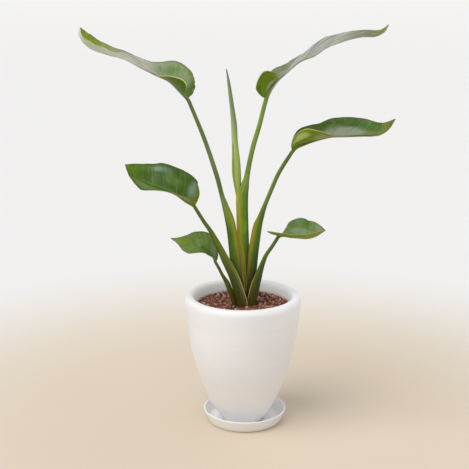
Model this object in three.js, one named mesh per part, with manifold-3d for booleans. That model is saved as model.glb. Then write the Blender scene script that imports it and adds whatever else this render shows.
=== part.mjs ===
// Potted bird of paradise: a young Strelitzia with six open leaves and one rolled one,
// in a white egg-shaped pot on its saucer. Millimetres, +Z up.
// The origin is under the middle of the saucer, on the surface that it stands on.
// The leaves fan out along X, and -Y is the side that they are seen from.
import * as THREE from 'three';
import { mergeVertices } from 'three/addons/utils/BufferGeometryUtils.js';
import Module from 'manifold-3d';

const wasm = await Module();
wasm.setup();

// Driving dimensions
const GAP = 0.3;
const TURNED_SIDES = 40;

const SAUCER = { footRadius: 79, rimRadius: 90, height: 27, floor: 3, wall: 2.6 };

const POT = {
  axisX: -4.3,
  baseZ: SAUCER.floor + GAP,
  floorThickness: 20,
  drainRadius: 8.5,
};

// Outer side of the pot as [radius, height], from the foot to the widest place.
const POT_OUTSIDE = [
  [43, 3.3], [47.5, 8.5], [65.5, 36], [79, 64], [94.5, 106], [107.5, 148], [117, 198], [123, 248],
];
// The thick rounded rim, over the top and down to the soil.
const POT_RIM = [
  [125, 272], [124, 280.5], [120, 286], [114.5, 288], [109, 286.5], [105.3, 281], [102.8, 272],
];
// The inner side, from under the rim down to the floor.
const POT_INSIDE = [
  [101.5, 262], [102.5, 240], [102, 205], [95.5, 150], [84, 106], [69, 66], [56, 42], [40, 23.3],
];

const SOIL = { mixTopZ: 256, layerZ: 262, layerRadius: 100.6 };
const PEBBLE = {
  halfWidth: 8.2,
  height: 7.5,
  sides: 5,
  topShare: 0.55,
  ringStep: 16.2,
  spacing: 16.6,
  lift: 0.6,
  liftSpread: 1.2,
  sizeSpread: 0.15,
  tiltSpread: 0.3,
  seed: 7,
};

// Stalks are oval: a sheath is wide in the plane of the fan and no deeper than SHEATH_HALF_DEPTH.
const STALK_SIDES = 8;
const STALK_RINGS_PER_ROW = 1.5;
const STALK_DEPTH_SHARE = 0.92;
const SHEATH_HALF_DEPTH = 7.5;
const HOLE_CLEARANCE = 0.4;
const STEM_FOOT_Z = 226;
const STEM_FOOT_SHARE = 0.8;
const TANGENT_REACH = 0.01;

// The stalk runs on as the midrib, which tapers to nearly nothing along the blade.
const RIB_RINGS = 8;
const RIB_STOP_SHARE = 0.93;
const RIB_END_RADIUS = 0.7;

const BLADE_THICKNESS = 1;
const BLADE_CURL = 22;
const BLADE_ROWS_PER_ROW = 1.3;
const HALF_STRIPS = 3;
const TIP_HALF_WIDTH = 0.7;
// Near the tip, where the rib bends sharply, the blade follows the rib's direction over this distance.
const TIP_FRAME_REACH = 15;
const TIP_FRAME_FROM = 0.7;
const TIP_FRAME_FULL = 0.88;
const FRAME_REACH = 0.4;

// Each leaf is grown in one piece. stalk rows are [x, y, z, half width], from the soil up to the blade.
// rib is the midrib from there to the tip. blade rows go along it, and each is
// [distance along the rib where a vein leaves it,
//  where that vein ends, half width and fold of the near half, and the same three of the far half].
// A fold is the angle in degrees by which a half rises from the level.
const LEAVES = {
  leaf_tall_left: {
    color: 0x4f7d35,
    stalk: [
      [-9, 5, 272, 11], [-18, 5, 340, 12], [-27, 5, 418, 10.6], [-33, 5, 452, 9.8], [-42, 6, 483, 7.2],
      [-49, 7, 505, 5.3], [-60, 8, 548, 5.2], [-85, 9, 624, 4.7], [-117, 10, 704, 4.2],
    ],
    rib: [
      [-120, 10, 709], [-132, 10, 722], [-144, 10, 735], [-159, 10, 747], [-180, 10, 756],
      [-218, 10, 774], [-249, 10, 790], [-283, 10, 799], [-317, 10, 811], [-334, 10, 826],
      [-341, 10, 843], [-337, 10, 854],
    ],
    blade: [
      [0, 10, 5, 20, 0, 3, 50], [3, 13, 14, 22, -1, 15, 60], [8, 16, 26, 28, 4, 28, 62],
      [16, 24, 40, 33, 14, 38, 62], [28, 38, 49, 30, 32, 48, 59], [45, 56, 54, 18, 54, 54, 46],
      [64, 77, 55, 9, 74, 54, 31], [86, 99, 53, 23, 98, 52, 18], [110, 124, 50, 27, 124, 50, 13],
      [138, 152, 46, 22, 152, 46, 13], [166, 180, 41, 20, 182, 41, 19], [194, 208, 35, 27, 210, 35, 31],
      [222, 236, 27, 33, 237, 29, 47], [242, 252, 19, 33, 261, 23, 54], [261, 268, 9, 36, 272, 15, 45],
    ],
  },
  leaf_tall_right: {
    color: 0x557f37,
    stalk: [
      [3, 27, 274, 9], [0, 25, 357, 11], [-4, 24, 407, 12.5], [-6, 24, 469, 12.6], [-6, 23, 500, 13],
      [-1, 21, 522, 9.5], [3, 20, 540, 6.6], [9, 19, 573, 5.5], [18, 17, 613, 5.4], [29, 15, 651, 5.1],
      [39, 12, 693, 4.8],
    ],
    rib: [
      [43, 12, 709], [51, 10, 728], [63, 8, 745], [86, 5, 766], [113, 3, 787], [141, 1, 798],
      [165, 0, 814], [188, 0, 823], [213, 0, 831], [239, 0, 836], [266, 0, 837], [284, 0, 847],
      [291, 0, 861],
    ],
    blade: [
      [0, 0, 3, 45, 0, 3, 20], [3, 1, 11, 50, 0, 14, 26], [9, 7, 22, 52, 8, 30, 28],
      [18, 17, 33, 53, 22, 42, 28], [32, 40, 43, 48, 42, 50, 26], [50, 60, 52, 18, 62, 55, 16],
      [70, 82, 55, 7, 82, 55, 10], [94, 108, 54, 14, 108, 54, 7], [124, 140, 51, 26, 140, 51, 17],
      [156, 170, 46, 31, 170, 46, 20], [188, 203, 40, 31, 203, 40, 20], [222, 236, 32, 29, 236, 32, 22],
      [256, 270, 22, 26, 270, 22, 31], [282, 292, 11, 26, 292, 11, 34],
    ],
  },
  leaf_mid_right: {
    color: 0x4a7a33,
    stalk: [
      [12, 11, 274, 9.5], [16, 11, 345, 10.4], [19, 11, 383, 10.8], [26, 10, 432, 9.8],
      [33, 9, 456, 7.2], [42, 7, 483, 5], [54, 5, 514, 4.7], [71, 3, 554, 4.5], [96, 0, 596, 4.1],
    ],
    rib: [
      [99, 0, 601], [108, -1, 609], [120, -2, 615], [142, -4, 623], [174, -8, 631], [220, -12, 636],
      [261, -17, 638], [279, -19, 641], [295, -20, 652], [309, -20, 671],
    ],
    blade: [
      [0, 0, 3, 40, 0, 3, 40], [3, 4, 9, 52, 4, 11, 51], [8, 11, 19, 58, 12, 22, 52],
      [18, 22, 30, 60, 24, 36, 50], [36, 42, 41, 52, 42, 44, 41], [56, 66, 47, 31, 66, 48, 34],
      [80, 92, 48, 14, 92, 49, 42], [108, 122, 46, 7, 122, 47, 44], [138, 152, 42, 6, 152, 42, 45],
      [166, 178, 33, 4, 178, 32, 48], [192, 201, 22, 3, 200, 22, 54], [212, 217, 14, 6, 216, 12, 48],
    ],
  },
  leaf_mid_left: {
    color: 0x41702f,
    stalk: [
      [-6, -14, 272, 11.3], [-17, -16, 311, 10.8], [-27, -19, 340, 10], [-41, -24, 371, 9.1],
      [-56, -30, 405, 6.7], [-71, -36, 435, 5], [-87, -40, 460, 4.2], [-103, -45, 488, 3.9],
    ],
    rib: [
      [-105, -45, 493], [-120, -46, 502], [-131, -46, 510], [-147, -45, 520], [-160, -44, 526.5],
      [-172, -42, 531], [-184, -40, 535], [-204, -36, 541], [-222, -33, 551], [-239, -30, 564],
      [-249, -28, 577],
    ],
    blade: [
      [0, 0, 3, 30, 0, 3, 45], [2, 2, 14, 32, -1, 17, 53], [7, 9, 27, 31, 3, 33, 56],
      [15, 18, 37, 26, 14, 45, 57], [28, 32, 43, 20, 29, 52, 57], [42, 50, 45, 14, 48, 54, 57],
      [60, 70, 45, 10, 68, 53, 56], [82, 93, 44, -2, 90, 52, 56], [106, 116, 38, -11, 114, 46, 54],
      [128, 138, 26, -9, 137, 35, 51], [150, 157, 12, -4, 157, 21, 48],
    ],
  },
  leaf_small_left: {
    color: 0x4d7d38,
    stalk: [
      [-22, -5, 270, 6.5], [-32, -7, 299, 6], [-39, -8, 317, 5.4], [-48, -10, 333, 3.7],
      [-55, -11, 348, 3.5], [-62, -12, 361, 3.3],
    ],
    rib: [
      [-63, -12, 363], [-68, -11, 373], [-80, -9, 383], [-93, -8, 391], [-108, -7, 395],
      [-126, -6, 399], [-143, -5, 406], [-158, -4, 413],
    ],
    blade: [
      [0, 0, 3, 30, 0, 3, 40], [2, 4, 12, 25, 4, 7, 50], [7, 10, 24, 20, 12, 15, 54],
      [16, 20, 34, 15, 22, 29, 57], [28, 34, 38, 10, 34, 39, 53], [43, 51, 39, -3, 51, 40, 47],
      [60, 68, 35, -11, 68, 35, 42], [78, 84, 22, -11, 85, 22, 40], [96, 99, 9, -2, 99, 9, 35],
    ],
  },
  leaf_small_right: {
    color: 0x527f3a,
    stalk: [
      [15, -6, 271, 9.6], [20, -6, 298, 10.2], [26, -6, 321, 9], [34, -6, 348, 6.5], [44, -7, 375, 4.6],
      [58, -8, 397, 4.2], [70, -9, 417, 3.9],
    ],
    rib: [
      [72, -9, 420], [83, -10, 420], [107, -12, 417], [132, -14, 415], [150, -15, 420], [170, -15, 433],
    ],
    blade: [
      [0, -6, 4, 40, 3, 3, 45], [2, -25, 21, 38, 9, 9, 50], [6, -15, 30, 31, 13, 20, 54],
      [12, 4, 37, 24, 17, 31, 56], [22, 26, 43, 21, 27, 40, 56], [36, 44, 46, 24, 42, 45, 56],
      [52, 60, 44, 27, 60, 44, 53], [66, 74, 37, 30, 75, 42, 48], [80, 86, 27, 31, 90, 34, 46],
      [93, 96, 14, 28, 99, 18, 42],
    ],
  },
};

// The rolled leaf as [x, y, z, half width], from the soil to its tip.
const SPEAR = {
  color: 0x5f8f3a,
  overlap: 0.16,
  turns: 0.6,
  rows: [
    [1, 27, 275, 4], [-5, 24, 406, 4], [-11, 24, 468, 4.4], [-14, 24, 500, 5.8], [-16, 24, 522, 8],
    [-18, 24, 546, 9.8], [-19, 24, 568, 9.6], [-20, 24, 592, 7.9], [-22, 24, 619, 6.8],
    [-24, 25, 657, 6.2], [-29, 25, 700, 4.6], [-34, 25, 737, 3.4], [-39, 25, 768, 0.9],
  ],
};
const SPEAR_RINGS = 20;
const SPEAR_SIDES = 9;
const SPEAR_HALF_DEPTH = 5.8;

// Small helpers

// A smooth value between the rows of a table: t runs from 0 at the first row to 1 at the last.
function readRow(rows, t) {
  const place = Math.min(Math.max(t, 0), 1) * (rows.length - 1);
  const i = Math.min(Math.floor(place), rows.length - 2);
  const f = place - i;
  const before = rows[Math.max(i - 1, 0)];
  const after = rows[Math.min(i + 2, rows.length - 1)];
  return rows[i].map((a, k) => {
    const b = rows[i + 1][k];
    const slopeA = (b - before[k]) / 2;
    const slopeB = (after[k] - a) / 2;
    const f2 = f * f;
    const f3 = f2 * f;
    const nearA = (2 * f3 - 3 * f2 + 1) * a + (f3 - 2 * f2 + f) * slopeA;
    const nearB = (3 * f2 - 2 * f3) * b + (f3 - f2) * slopeB;
    return nearA + nearB;
  });
}

// The same numbers every time, between 0 and 1.
function seededRandom(seed) {
  let state = seed;
  return () => {
    state = (Math.imul(state, 1664525) + 1013904223) >>> 0;
    return state / 4294967296;
  };
}

function geometryFrom(points, triangles) {
  const geometry = new THREE.BufferGeometry();
  const values = points.flatMap((p) => [p.x, p.y, p.z]);
  geometry.setAttribute('position', new THREE.Float32BufferAttribute(values, 3));
  geometry.setIndex(triangles);
  return geometry;
}

function toSolid(geometry) {
  const bare = geometry.clone();
  bare.deleteAttribute('normal');
  bare.deleteAttribute('uv');
  const merged = mergeVertices(bare, 1e-4);
  return new wasm.Manifold(new wasm.Mesh({
    numProp: 3,
    vertProperties: new Float32Array(merged.attributes.position.array),
    triVerts: new Uint32Array(merged.index.array),
  }));
}

function toGeometry(solid) {
  const mesh = solid.getMesh();
  const geometry = new THREE.BufferGeometry();
  geometry.setAttribute('position', new THREE.BufferAttribute(mesh.vertProperties.slice(), 3));
  geometry.setIndex(new THREE.BufferAttribute(mesh.triVerts.slice(), 1));
  geometry.computeVertexNormals();
  return geometry;
}

// The largest of the separate bodies of a solid, so that a loose scrap is dropped.
function largestBody(solid) {
  return solid.decompose().reduce((best, piece) => (piece.volume() > best.volume() ? piece : best));
}

function makeMesh(name, geometry, color, roughness) {
  const material = new THREE.MeshStandardMaterial({ color, roughness, metalness: 0 });
  const mesh = new THREE.Mesh(geometry, material);
  mesh.name = name;
  return mesh;
}

// A body turned about the Z axis from a closed profile of [radius, height].
function turned(profile, sides = TURNED_SIDES) {
  const points = profile.map(([r, z]) => new THREE.Vector2(r, z));
  return new THREE.LatheGeometry(points, sides).rotateX(Math.PI / 2);
}

// Pot, saucer and what fills the pot

function makeSaucer() {
  const { footRadius, rimRadius, height, floor, wall } = SAUCER;
  const profile = [
    [0, 0], [footRadius - 2, 0], [footRadius + 0.8, 2.2], [footRadius + 3.4, 7],
    [rimRadius, height - 1.2], [rimRadius - 0.8, height], [rimRadius - wall + 0.4, height],
    [rimRadius - wall - 0.2, height - 1.2], [footRadius + 1, 7.6], [footRadius - 2.6, floor + 0.7],
    [footRadius - 6, floor], [0, floor],
  ];
  return makeMesh('saucer', turned(profile), 0xf1f1ef, 0.45);
}

function makePot() {
  const { axisX, baseZ, floorThickness, drainRadius } = POT;
  const floorZ = baseZ + floorThickness;
  const profile = [
    [drainRadius, baseZ], ...POT_OUTSIDE, ...POT_RIM, ...POT_INSIDE,
    [drainRadius, floorZ], [drainRadius, baseZ],
  ];
  return makeMesh('pot', turned(profile).translate(axisX, 0, 0), 0xf2f2f0, 0.4);
}

// Potting mix: the inside of the pot, less the gap, up to the pebbles.
function mixSolid() {
  const side = POT_INSIDE.slice(1).reverse().map(([r, z]) => [r - GAP - 0.1, z + GAP]);
  const profile = [[0, side[0][1]], ...side, [POT_INSIDE[0][0] - 0.2, SOIL.mixTopZ], [0, SOIL.mixTopZ]];
  return toSolid(turned(profile).translate(POT.axisX, 0, 0));
}

// One pebble: a blunt stone with few sides, turned, tilted and sized at random.
function pebbleGeometry(random) {
  const { halfWidth, height, sides, topShare, sizeSpread, tiltSpread } = PEBBLE;
  const stone = new THREE.CylinderGeometry(topShare * halfWidth, halfWidth, height, sides);
  const size = 1 - sizeSpread * random();
  stone.rotateX(Math.PI / 2).rotateZ(2 * Math.PI * random());
  return stone.scale(size, size * (1 - sizeSpread * random()), size).rotateX(tiltSpread * (random() - 0.5));
}

// The top layer: a disc with rings of pebbles half sunk in it, larger than life.
function pebbleLayerSolid() {
  const random = seededRandom(PEBBLE.seed);
  const { mixTopZ, layerZ, layerRadius } = SOIL;
  const bottomZ = mixTopZ + GAP;
  const disc = toSolid(turned([[0, bottomZ], [layerRadius, bottomZ], [layerRadius, layerZ], [0, layerZ]]));
  const stones = [disc];
  for (let ring = layerRadius - PEBBLE.halfWidth - GAP; ring > 2; ring -= PEBBLE.ringStep) {
    const count = Math.max(Math.round((2 * Math.PI * ring) / PEBBLE.spacing), 3);
    const phase = random() * Math.PI;
    for (let i = 0; i < count; i += 1) {
      const angle = phase + (2 * Math.PI * i) / count;
      const lift = layerZ + PEBBLE.lift + PEBBLE.liftSpread * random();
      const stone = pebbleGeometry(random).translate(ring * Math.cos(angle), ring * Math.sin(angle), lift);
      stones.push(toSolid(stone));
    }
  }
  return wasm.Manifold.union(stones).translate([POT.axisX, 0, 0]);
}

// Stalks

// Joins rings of points into one closed body, with a point at the middle of each end.
function loftGeometry(rings) {
  const sides = rings[0].length;
  const points = rings.flat();
  const triangles = [];
  for (let r = 0; r < rings.length - 1; r += 1) {
    for (let s = 0; s < sides; s += 1) {
      const a = r * sides + s;
      const b = r * sides + ((s + 1) % sides);
      triangles.push(a, b, b + sides, a, b + sides, a + sides);
    }
  }
  const last = (rings.length - 1) * sides;
  for (const [start, flip] of [[0, true], [last, false]]) {
    const middle = new THREE.Vector3();
    for (let s = 0; s < sides; s += 1) {
      middle.add(points[start + s]);
    }
    points.push(middle.divideScalar(sides));
    for (let s = 0; s < sides; s += 1) {
      const a = start + s;
      const b = start + ((s + 1) % sides);
      triangles.push(...(flip ? [b, a, points.length - 1] : [a, b, points.length - 1]));
    }
  }
  return geometryFrom(points, triangles);
}

// An oval ring round a centre, square to the tangent. Its width lies in the plane of the fan.
function ovalRing(centre, tangent, halfWidth, halfDepth, sides, radiusAt = () => 1) {
  const depth = new THREE.Vector3(0, 1, 0).addScaledVector(tangent, -tangent.y).normalize();
  const width = new THREE.Vector3().crossVectors(depth, tangent).normalize();
  const ring = [];
  for (let s = 0; s < sides; s += 1) {
    const angle = (2 * Math.PI * s) / sides;
    const r = radiusAt(s);
    ring.push(centre.clone()
      .addScaledVector(width, r * halfWidth * Math.cos(angle))
      .addScaledVector(depth, r * halfDepth * Math.sin(angle)));
  }
  return ring;
}

// Half the depth of a stalk, across the fan, where its half width in the fan is given.
function stalkDepth(halfWidth) {
  return Math.min(STALK_DEPTH_SHARE * halfWidth, SHEATH_HALF_DEPTH);
}

// The number of rings that a stalk or its hole is built from.
function stalkRings(rows) {
  return Math.round(STALK_RINGS_PER_ROW * rows.length);
}

// Centres, tangents and half widths along stalk rows, from under the soil to the top.
function stalkStations(rows, count) {
  const [x, y, , halfWidth] = rows[0];
  const buried = [[x, y, STEM_FOOT_Z, STEM_FOOT_SHARE * halfWidth], ...rows];
  const centreAt = (t) => new THREE.Vector3(...readRow(buried, t).slice(0, 3));
  const stations = [];
  for (let i = 0; i <= count; i += 1) {
    const t = i / count;
    stations.push({
      centre: centreAt(t),
      tangent: centreAt(t + TANGENT_REACH).sub(centreAt(t - TANGENT_REACH)).normalize(),
      halfWidth: readRow(buried, t)[3],
    });
  }
  return stations;
}

// The plain stalk alone, grown by a clearance, which cuts its hole in the soil.
function stalkSolid(rows, clearance) {
  const stations = stalkStations(rows, stalkRings(rows));
  const rings = stations.map(({ centre, tangent, halfWidth }, i) => {
    const below = i === 0 ? -clearance : 0;
    const place = centre.clone().addScaledVector(tangent, below);
    return ovalRing(place, tangent, halfWidth + clearance, stalkDepth(halfWidth) + clearance, STALK_SIDES);
  });
  return toSolid(loftGeometry(rings));
}

// Blades

// The midrib as a curve measured in millimetres, run on straight behind its start.
// Its frame is the tangent, the level side towards the viewer, and the way up from the blade.
function ribCurve(rib) {
  const curve = new THREE.CatmullRomCurve3(rib.map((p) => new THREE.Vector3(...p)), false, 'centripetal');
  curve.arcLengthDivisions = 400;
  const length = curve.getLength();
  const heading = Math.sign(rib[rib.length - 1][0] - rib[0][0]);
  const pointAt = (distance) => curve.getPointAt(THREE.MathUtils.clamp(distance / length, 0, 1));
  return {
    length,
    frame(distance) {
      const held = THREE.MathUtils.clamp(distance, 0, length);
      const tipShare = THREE.MathUtils.smoothstep(held / length, TIP_FRAME_FROM, TIP_FRAME_FULL);
      const reach = FRAME_REACH + TIP_FRAME_REACH * tipShare;
      const tangent = pointAt(held + reach).sub(pointAt(held - reach)).normalize();
      const point = pointAt(held).addScaledVector(tangent, Math.min(distance, 0));
      const side = new THREE.Vector3(tangent.y, -tangent.x, 0).normalize();
      if (side.y > 0) {
        side.negate();
      }
      const up = new THREE.Vector3().crossVectors(side, tangent).normalize().multiplyScalar(heading);
      return { point, tangent, side, up };
    },
  };
}

// A point on one half of the blade, at the fraction v of the way out along a vein.
function bladePoint(curve, [leaves, ends, width, fold], v, facing) {
  const { point, side, up } = curve.frame(leaves + (ends - leaves) * v);
  const curl = THREE.MathUtils.degToRad(BLADE_CURL);
  const start = THREE.MathUtils.degToRad(fold) - curl / 2;
  const end = start + curl * v;
  const out = (width * (Math.sin(end) - Math.sin(start))) / curl;
  const rise = (width * (Math.cos(start) - Math.cos(end))) / curl;
  return point.clone().addScaledVector(side, facing * out).addScaledVector(up, rise);
}

// The middle surface of a blade: rows of points from the near margin over the rib to the far margin.
function bladeRows(curve, table, count) {
  const last = table[table.length - 1];
  const end = curve.length;
  const full = [...table, [end, end, TIP_HALF_WIDTH, last[3], end, TIP_HALF_WIDTH, last[6]]];
  const rows = [];
  for (let i = 0; i <= count; i += 1) {
    const [leaves, nearEnd, nearWidth, nearFold, farEnd, farWidth, farFold] = readRow(full, i / count);
    const row = [];
    for (let j = -HALF_STRIPS; j <= HALF_STRIPS; j += 1) {
      const v = Math.abs(j) / HALF_STRIPS;
      row.push(j < 0
        ? bladePoint(curve, [leaves, nearEnd, nearWidth, nearFold], v, 1)
        : bladePoint(curve, [leaves, farEnd, farWidth, farFold], v, -1));
    }
    rows.push(row);
  }
  return rows;
}

// A thin closed shell on both sides of a middle surface, split into triangles alike on both faces.
function shellGeometry(rows, thickness) {
  const across = rows[0].length;
  const middle = rows.flat();
  const faces = [];
  for (let i = 0; i < rows.length - 1; i += 1) {
    for (let j = 0; j < across - 1; j += 1) {
      const a = i * across + j;
      faces.push([a, a + 1, a + across + 1], [a, a + across + 1, a + across]);
    }
  }
  const normals = middle.map(() => new THREE.Vector3());
  for (const [a, b, c] of faces) {
    const ab = middle[b].clone().sub(middle[a]);
    const ac = middle[c].clone().sub(middle[a]);
    const cross = ab.cross(ac);
    [a, b, c].forEach((k) => normals[k].add(cross));
  }
  const top = middle.map((p, k) => p.clone().addScaledVector(normals[k].normalize(), thickness / 2));
  const bottom = middle.map((p, k) => p.clone().addScaledVector(normals[k], -thickness / 2));
  const count = middle.length;
  const triangles = faces.flatMap(([a, b, c]) => [a, b, c, count + a, count + c, count + b]);
  const edge = [];
  for (let j = 0; j < across; j += 1) {
    edge.push(j);
  }
  for (let i = 1; i < rows.length; i += 1) {
    edge.push(i * across + across - 1);
  }
  for (let j = across - 2; j >= 0; j -= 1) {
    edge.push((rows.length - 1) * across + j);
  }
  for (let i = rows.length - 2; i > 0; i -= 1) {
    edge.push(i * across);
  }
  edge.forEach((a, k) => {
    const b = edge[(k + 1) % edge.length];
    triangles.push(b, a, count + a, b, count + a, count + b);
  });
  return geometryFrom([...top, ...bottom], triangles);
}

// Turns a closed surface the right way out.
function outward(geometry) {
  const position = geometry.attributes.position;
  const index = geometry.index.array;
  const [a, b, c] = [new THREE.Vector3(), new THREE.Vector3(), new THREE.Vector3()];
  let volume = 0;
  for (let i = 0; i < index.length; i += 3) {
    a.fromBufferAttribute(position, index[i]);
    b.fromBufferAttribute(position, index[i + 1]);
    c.fromBufferAttribute(position, index[i + 2]);
    volume += a.dot(b.cross(c));
  }
  if (volume < 0) {
    for (let i = 0; i < index.length; i += 3) {
      [index[i], index[i + 1]] = [index[i + 1], index[i]];
    }
  }
  return geometry;
}

// One whole leaf: stalk and midrib in one tapering stem, joined with the blade.
function leafSolid({ stalk, rib, blade }) {
  const curve = ribCurve(rib);
  const stations = stalkStations(stalk, stalkRings(stalk));
  const rings = stations.map(({ centre, tangent, halfWidth }) => (
    ovalRing(centre, tangent, halfWidth, stalkDepth(halfWidth), STALK_SIDES)));
  const neckRadius = stalk[stalk.length - 1][3];
  for (let i = 1; i <= RIB_RINGS; i += 1) {
    const u = (RIB_STOP_SHARE * i) / RIB_RINGS;
    const radius = RIB_END_RADIUS + (neckRadius - RIB_END_RADIUS) * (1 - u) ** 3;
    const { point, tangent, up } = curve.frame(u * curve.length);
    const centre = point.clone().addScaledVector(up, -0.5 * radius);
    rings.push(ovalRing(centre, tangent, radius, radius, STALK_SIDES));
  }
  const stem = toSolid(outward(loftGeometry(rings)));
  const rows = bladeRows(curve, blade, Math.round(BLADE_ROWS_PER_ROW * blade.length));
  const shell = toSolid(outward(shellGeometry(rows, BLADE_THICKNESS)));
  return largestBody(stem.add(shell));
}

// The rolled leaf: a tapering scroll whose outer edge runs up it in a slow spiral.
function spearRings(clearance) {
  const { rows, overlap, turns } = SPEAR;
  const stations = stalkStations(rows, SPEAR_RINGS);
  return stations.map(({ centre, tangent, halfWidth }, i) => {
    const seam = (turns * i) / stations.length;
    const radiusAt = (s) => {
      const round = (s / SPEAR_SIDES + seam) % 1;
      return clearance > 0 ? 1 : 1 - overlap * round;
    };
    const below = i === 0 ? -clearance : 0;
    const place = centre.clone().addScaledVector(tangent, below);
    const grown = halfWidth + clearance;
    return ovalRing(place, tangent, grown, Math.min(grown, SPEAR_HALF_DEPTH), SPEAR_SIDES, radiusAt);
  });
}

function spearSolid(clearance = 0) {
  return toSolid(outward(loftGeometry(spearRings(clearance))));
}

// The whole plant in its pot

const plant = new THREE.Group();
plant.add(makeSaucer());
plant.add(makePot());

const spearHole = spearSolid(HOLE_CLEARANCE);
const holes = [spearHole];
for (const [name, leaf] of Object.entries(LEAVES)) {
  let solid = leafSolid(leaf);
  holes.push(stalkSolid(leaf.stalk, HOLE_CLEARANCE));
  if (name === 'leaf_tall_right') {
    solid = largestBody(solid.subtract(spearHole));
  }
  plant.add(makeMesh(name, toGeometry(solid), leaf.color, 0.42));
}
plant.add(makeMesh('leaf_rolled', toGeometry(spearSolid()), SPEAR.color, 0.42));

const allHoles = wasm.Manifold.union(holes);
const mix = largestBody(mixSolid().subtract(allHoles));
plant.add(makeMesh('potting_mix', toGeometry(mix), 0x3a2b22, 0.95));
const pebbles = largestBody(pebbleLayerSolid().subtract(allHoles));
plant.add(makeMesh('clay_pebbles', toGeometry(pebbles), 0x8a5648, 0.85));

export default plant;
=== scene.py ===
"""Looks of a potted bird of paradise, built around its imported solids. Metres, +Z up.

The tables repeat the sizes of the solids in millimetres, and every finer piece is made from them.
"""
import math

import bmesh
import bpy
import numpy as np
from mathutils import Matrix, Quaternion, Vector


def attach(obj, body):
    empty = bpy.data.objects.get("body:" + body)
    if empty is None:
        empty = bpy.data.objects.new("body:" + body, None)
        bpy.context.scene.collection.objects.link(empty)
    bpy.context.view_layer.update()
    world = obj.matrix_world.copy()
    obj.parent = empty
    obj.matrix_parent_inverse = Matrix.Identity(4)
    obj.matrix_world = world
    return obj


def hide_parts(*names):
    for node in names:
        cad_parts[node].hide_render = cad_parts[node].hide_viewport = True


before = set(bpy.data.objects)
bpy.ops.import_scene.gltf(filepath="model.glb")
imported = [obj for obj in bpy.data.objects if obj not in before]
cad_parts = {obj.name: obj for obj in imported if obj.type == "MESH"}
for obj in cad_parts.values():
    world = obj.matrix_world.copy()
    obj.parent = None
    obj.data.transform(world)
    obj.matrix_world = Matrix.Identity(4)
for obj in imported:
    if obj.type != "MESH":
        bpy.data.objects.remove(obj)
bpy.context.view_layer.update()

MM = 0.001
SEED = 11

# Camera, at the height and distance of the photograph's
CAMERA_PLACE = (-0.0224, -2.368, 1.037)
CAMERA_PITCH_DEG = 14.6
CAMERA_FOCAL_PIXELS = 1150
FRAME_PIXELS = 469
SENSOR_WIDTH = 36

# Floor in metres, and the even light from all round
FLOOR_RADIUS = 24.0
FLOOR_DROP = 0.0004
COVE_WIDTH = 12.0
COVE_HEIGHT = 12.0
WORLD_STRENGTH = 0.46

# Pot and saucer, as [radius, height] in millimetres
POT_AXIS_X = -4.3
POT_DRAIN_RADIUS = 8.5
DRAIN_CHAMFER = 1.5
POT_FOOT_RADIUS = 41.8
POT_FOOT_ROUND = 1.4
POT_OUTSIDE = [
    [43, 3.3], [47.5, 8.5], [65.5, 36], [79, 64], [94.5, 106], [107.5, 148], [117, 198], [123, 248],
]
POT_RIM = [
    [125, 272], [124, 280.5], [120, 286], [114.5, 288], [109, 286.5], [105.3, 281], [102.8, 272],
]
POT_INSIDE = [
    [101.5, 262], [102.5, 240], [102, 205], [95.5, 150], [84, 106], [69, 66], [56, 42], [40, 23.3],
]
POT_FLOOR_Z = 23.3
POT_BASE_Z = 3.3
SAUCER_OUTSIDE = [[79.8, 2.2], [82.4, 7], [85.6, 15], [90, 25.8]]
SAUCER_RIM = [[89.9, 26.6], [89.2, 27], [87.8, 27], [87.2, 25.8]]
SAUCER_INSIDE = [[83.2, 16], [80, 7.6], [78.6, 5], [76.4, 3.7], [73, 3]]
SAUCER_FLOOR_Z = 3
SAUCER_FOOT_RADIUS = 77
SAUCER_FOOT_EDGE = [78.6, 0.7]
SAUCER_GROOVE_RADIUS = 71
SAUCER_GROOVE_HALF_WIDTH = 3
SAUCER_GROOVE_ROUND = 0.9
TURNED_SEGMENTS = 192
POT_STEPS = 7
SAUCER_STEPS = 4

# Soil in millimetres. STALK_SQUASH is how many times narrower a stalk is from front to back.
LAYER_Z = 262
LAYER_RADIUS = 100.4
BED_DEPTH = 5.4
BED_UNEVENNESS = 0.8
GRAIN_SPACING = 5.5
GRAIN_HALF_WIDTH = 3.4
GRAIN_SCATTER = 1.3
GRAIN_LIFTS = (0.2, 3.6)
GRAIN_CLEARANCE = 0.8
STALK_SQUASH = 1.2

# Stalks. Heights and lengths are in millimetres. STALK_DEPTH_SHARE, SHEATH_THINNING, FLUTE_DEPTH,
# STALK_GROOVE_DEPTH, SEAM_SWELL and KEEL_FLATNESS are shares of the stalk's own width or depth,
# and KEEL_REACH is where the keel begins and ends as shares of the midrib.
STALK_SIDES = 84
STALK_STEPS = 150
STALK_START_Z = 250
STALK_DEPTH_SHARE = 0.92
SHEATH_HALF_DEPTH = 7.5
SHEATH_FADE = 55
SHEATH_THINNING = 0.78
FLUTE_COUNT = 17
FLUTE_DEPTH = 0.012
STALK_GROOVE_DEPTH = 0.16
SEAM_REACH_DEG = 75
SEAM_FADE = 12
SEAM_SWELL = 0.07
KEEL_STEPS = 70
KEEL_REACH = (0.012, 0.965)
KEEL_FLATNESS = 0.35
RIB_END_RADIUS = 0.55

# Blades. Lengths are in millimetres, and NICK_LENGTH is a share of the blade.
BLADE_ROWS = 170
HALF_STRIPS = 22
BLADE_CURL_DEG = 22
BLADE_THICKNESS = 0.95
MARGIN_THICKNESS = 0.5
MARGIN_ROUND = 0.2
TIP_HALF_WIDTH = 0.7
TIP_FRAME_REACH = 15
CORRUGATION_LENGTH = 7.8
CORRUGATION_HEIGHT = 0.22
WAVE_LENGTH = 41
RIPPLE_LENGTH = 17.5
RAGGED_LENGTHS = (5.3, 2.9)
RAGGED_DEPTH = 0.16
NICK_LENGTH = 0.008

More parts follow.
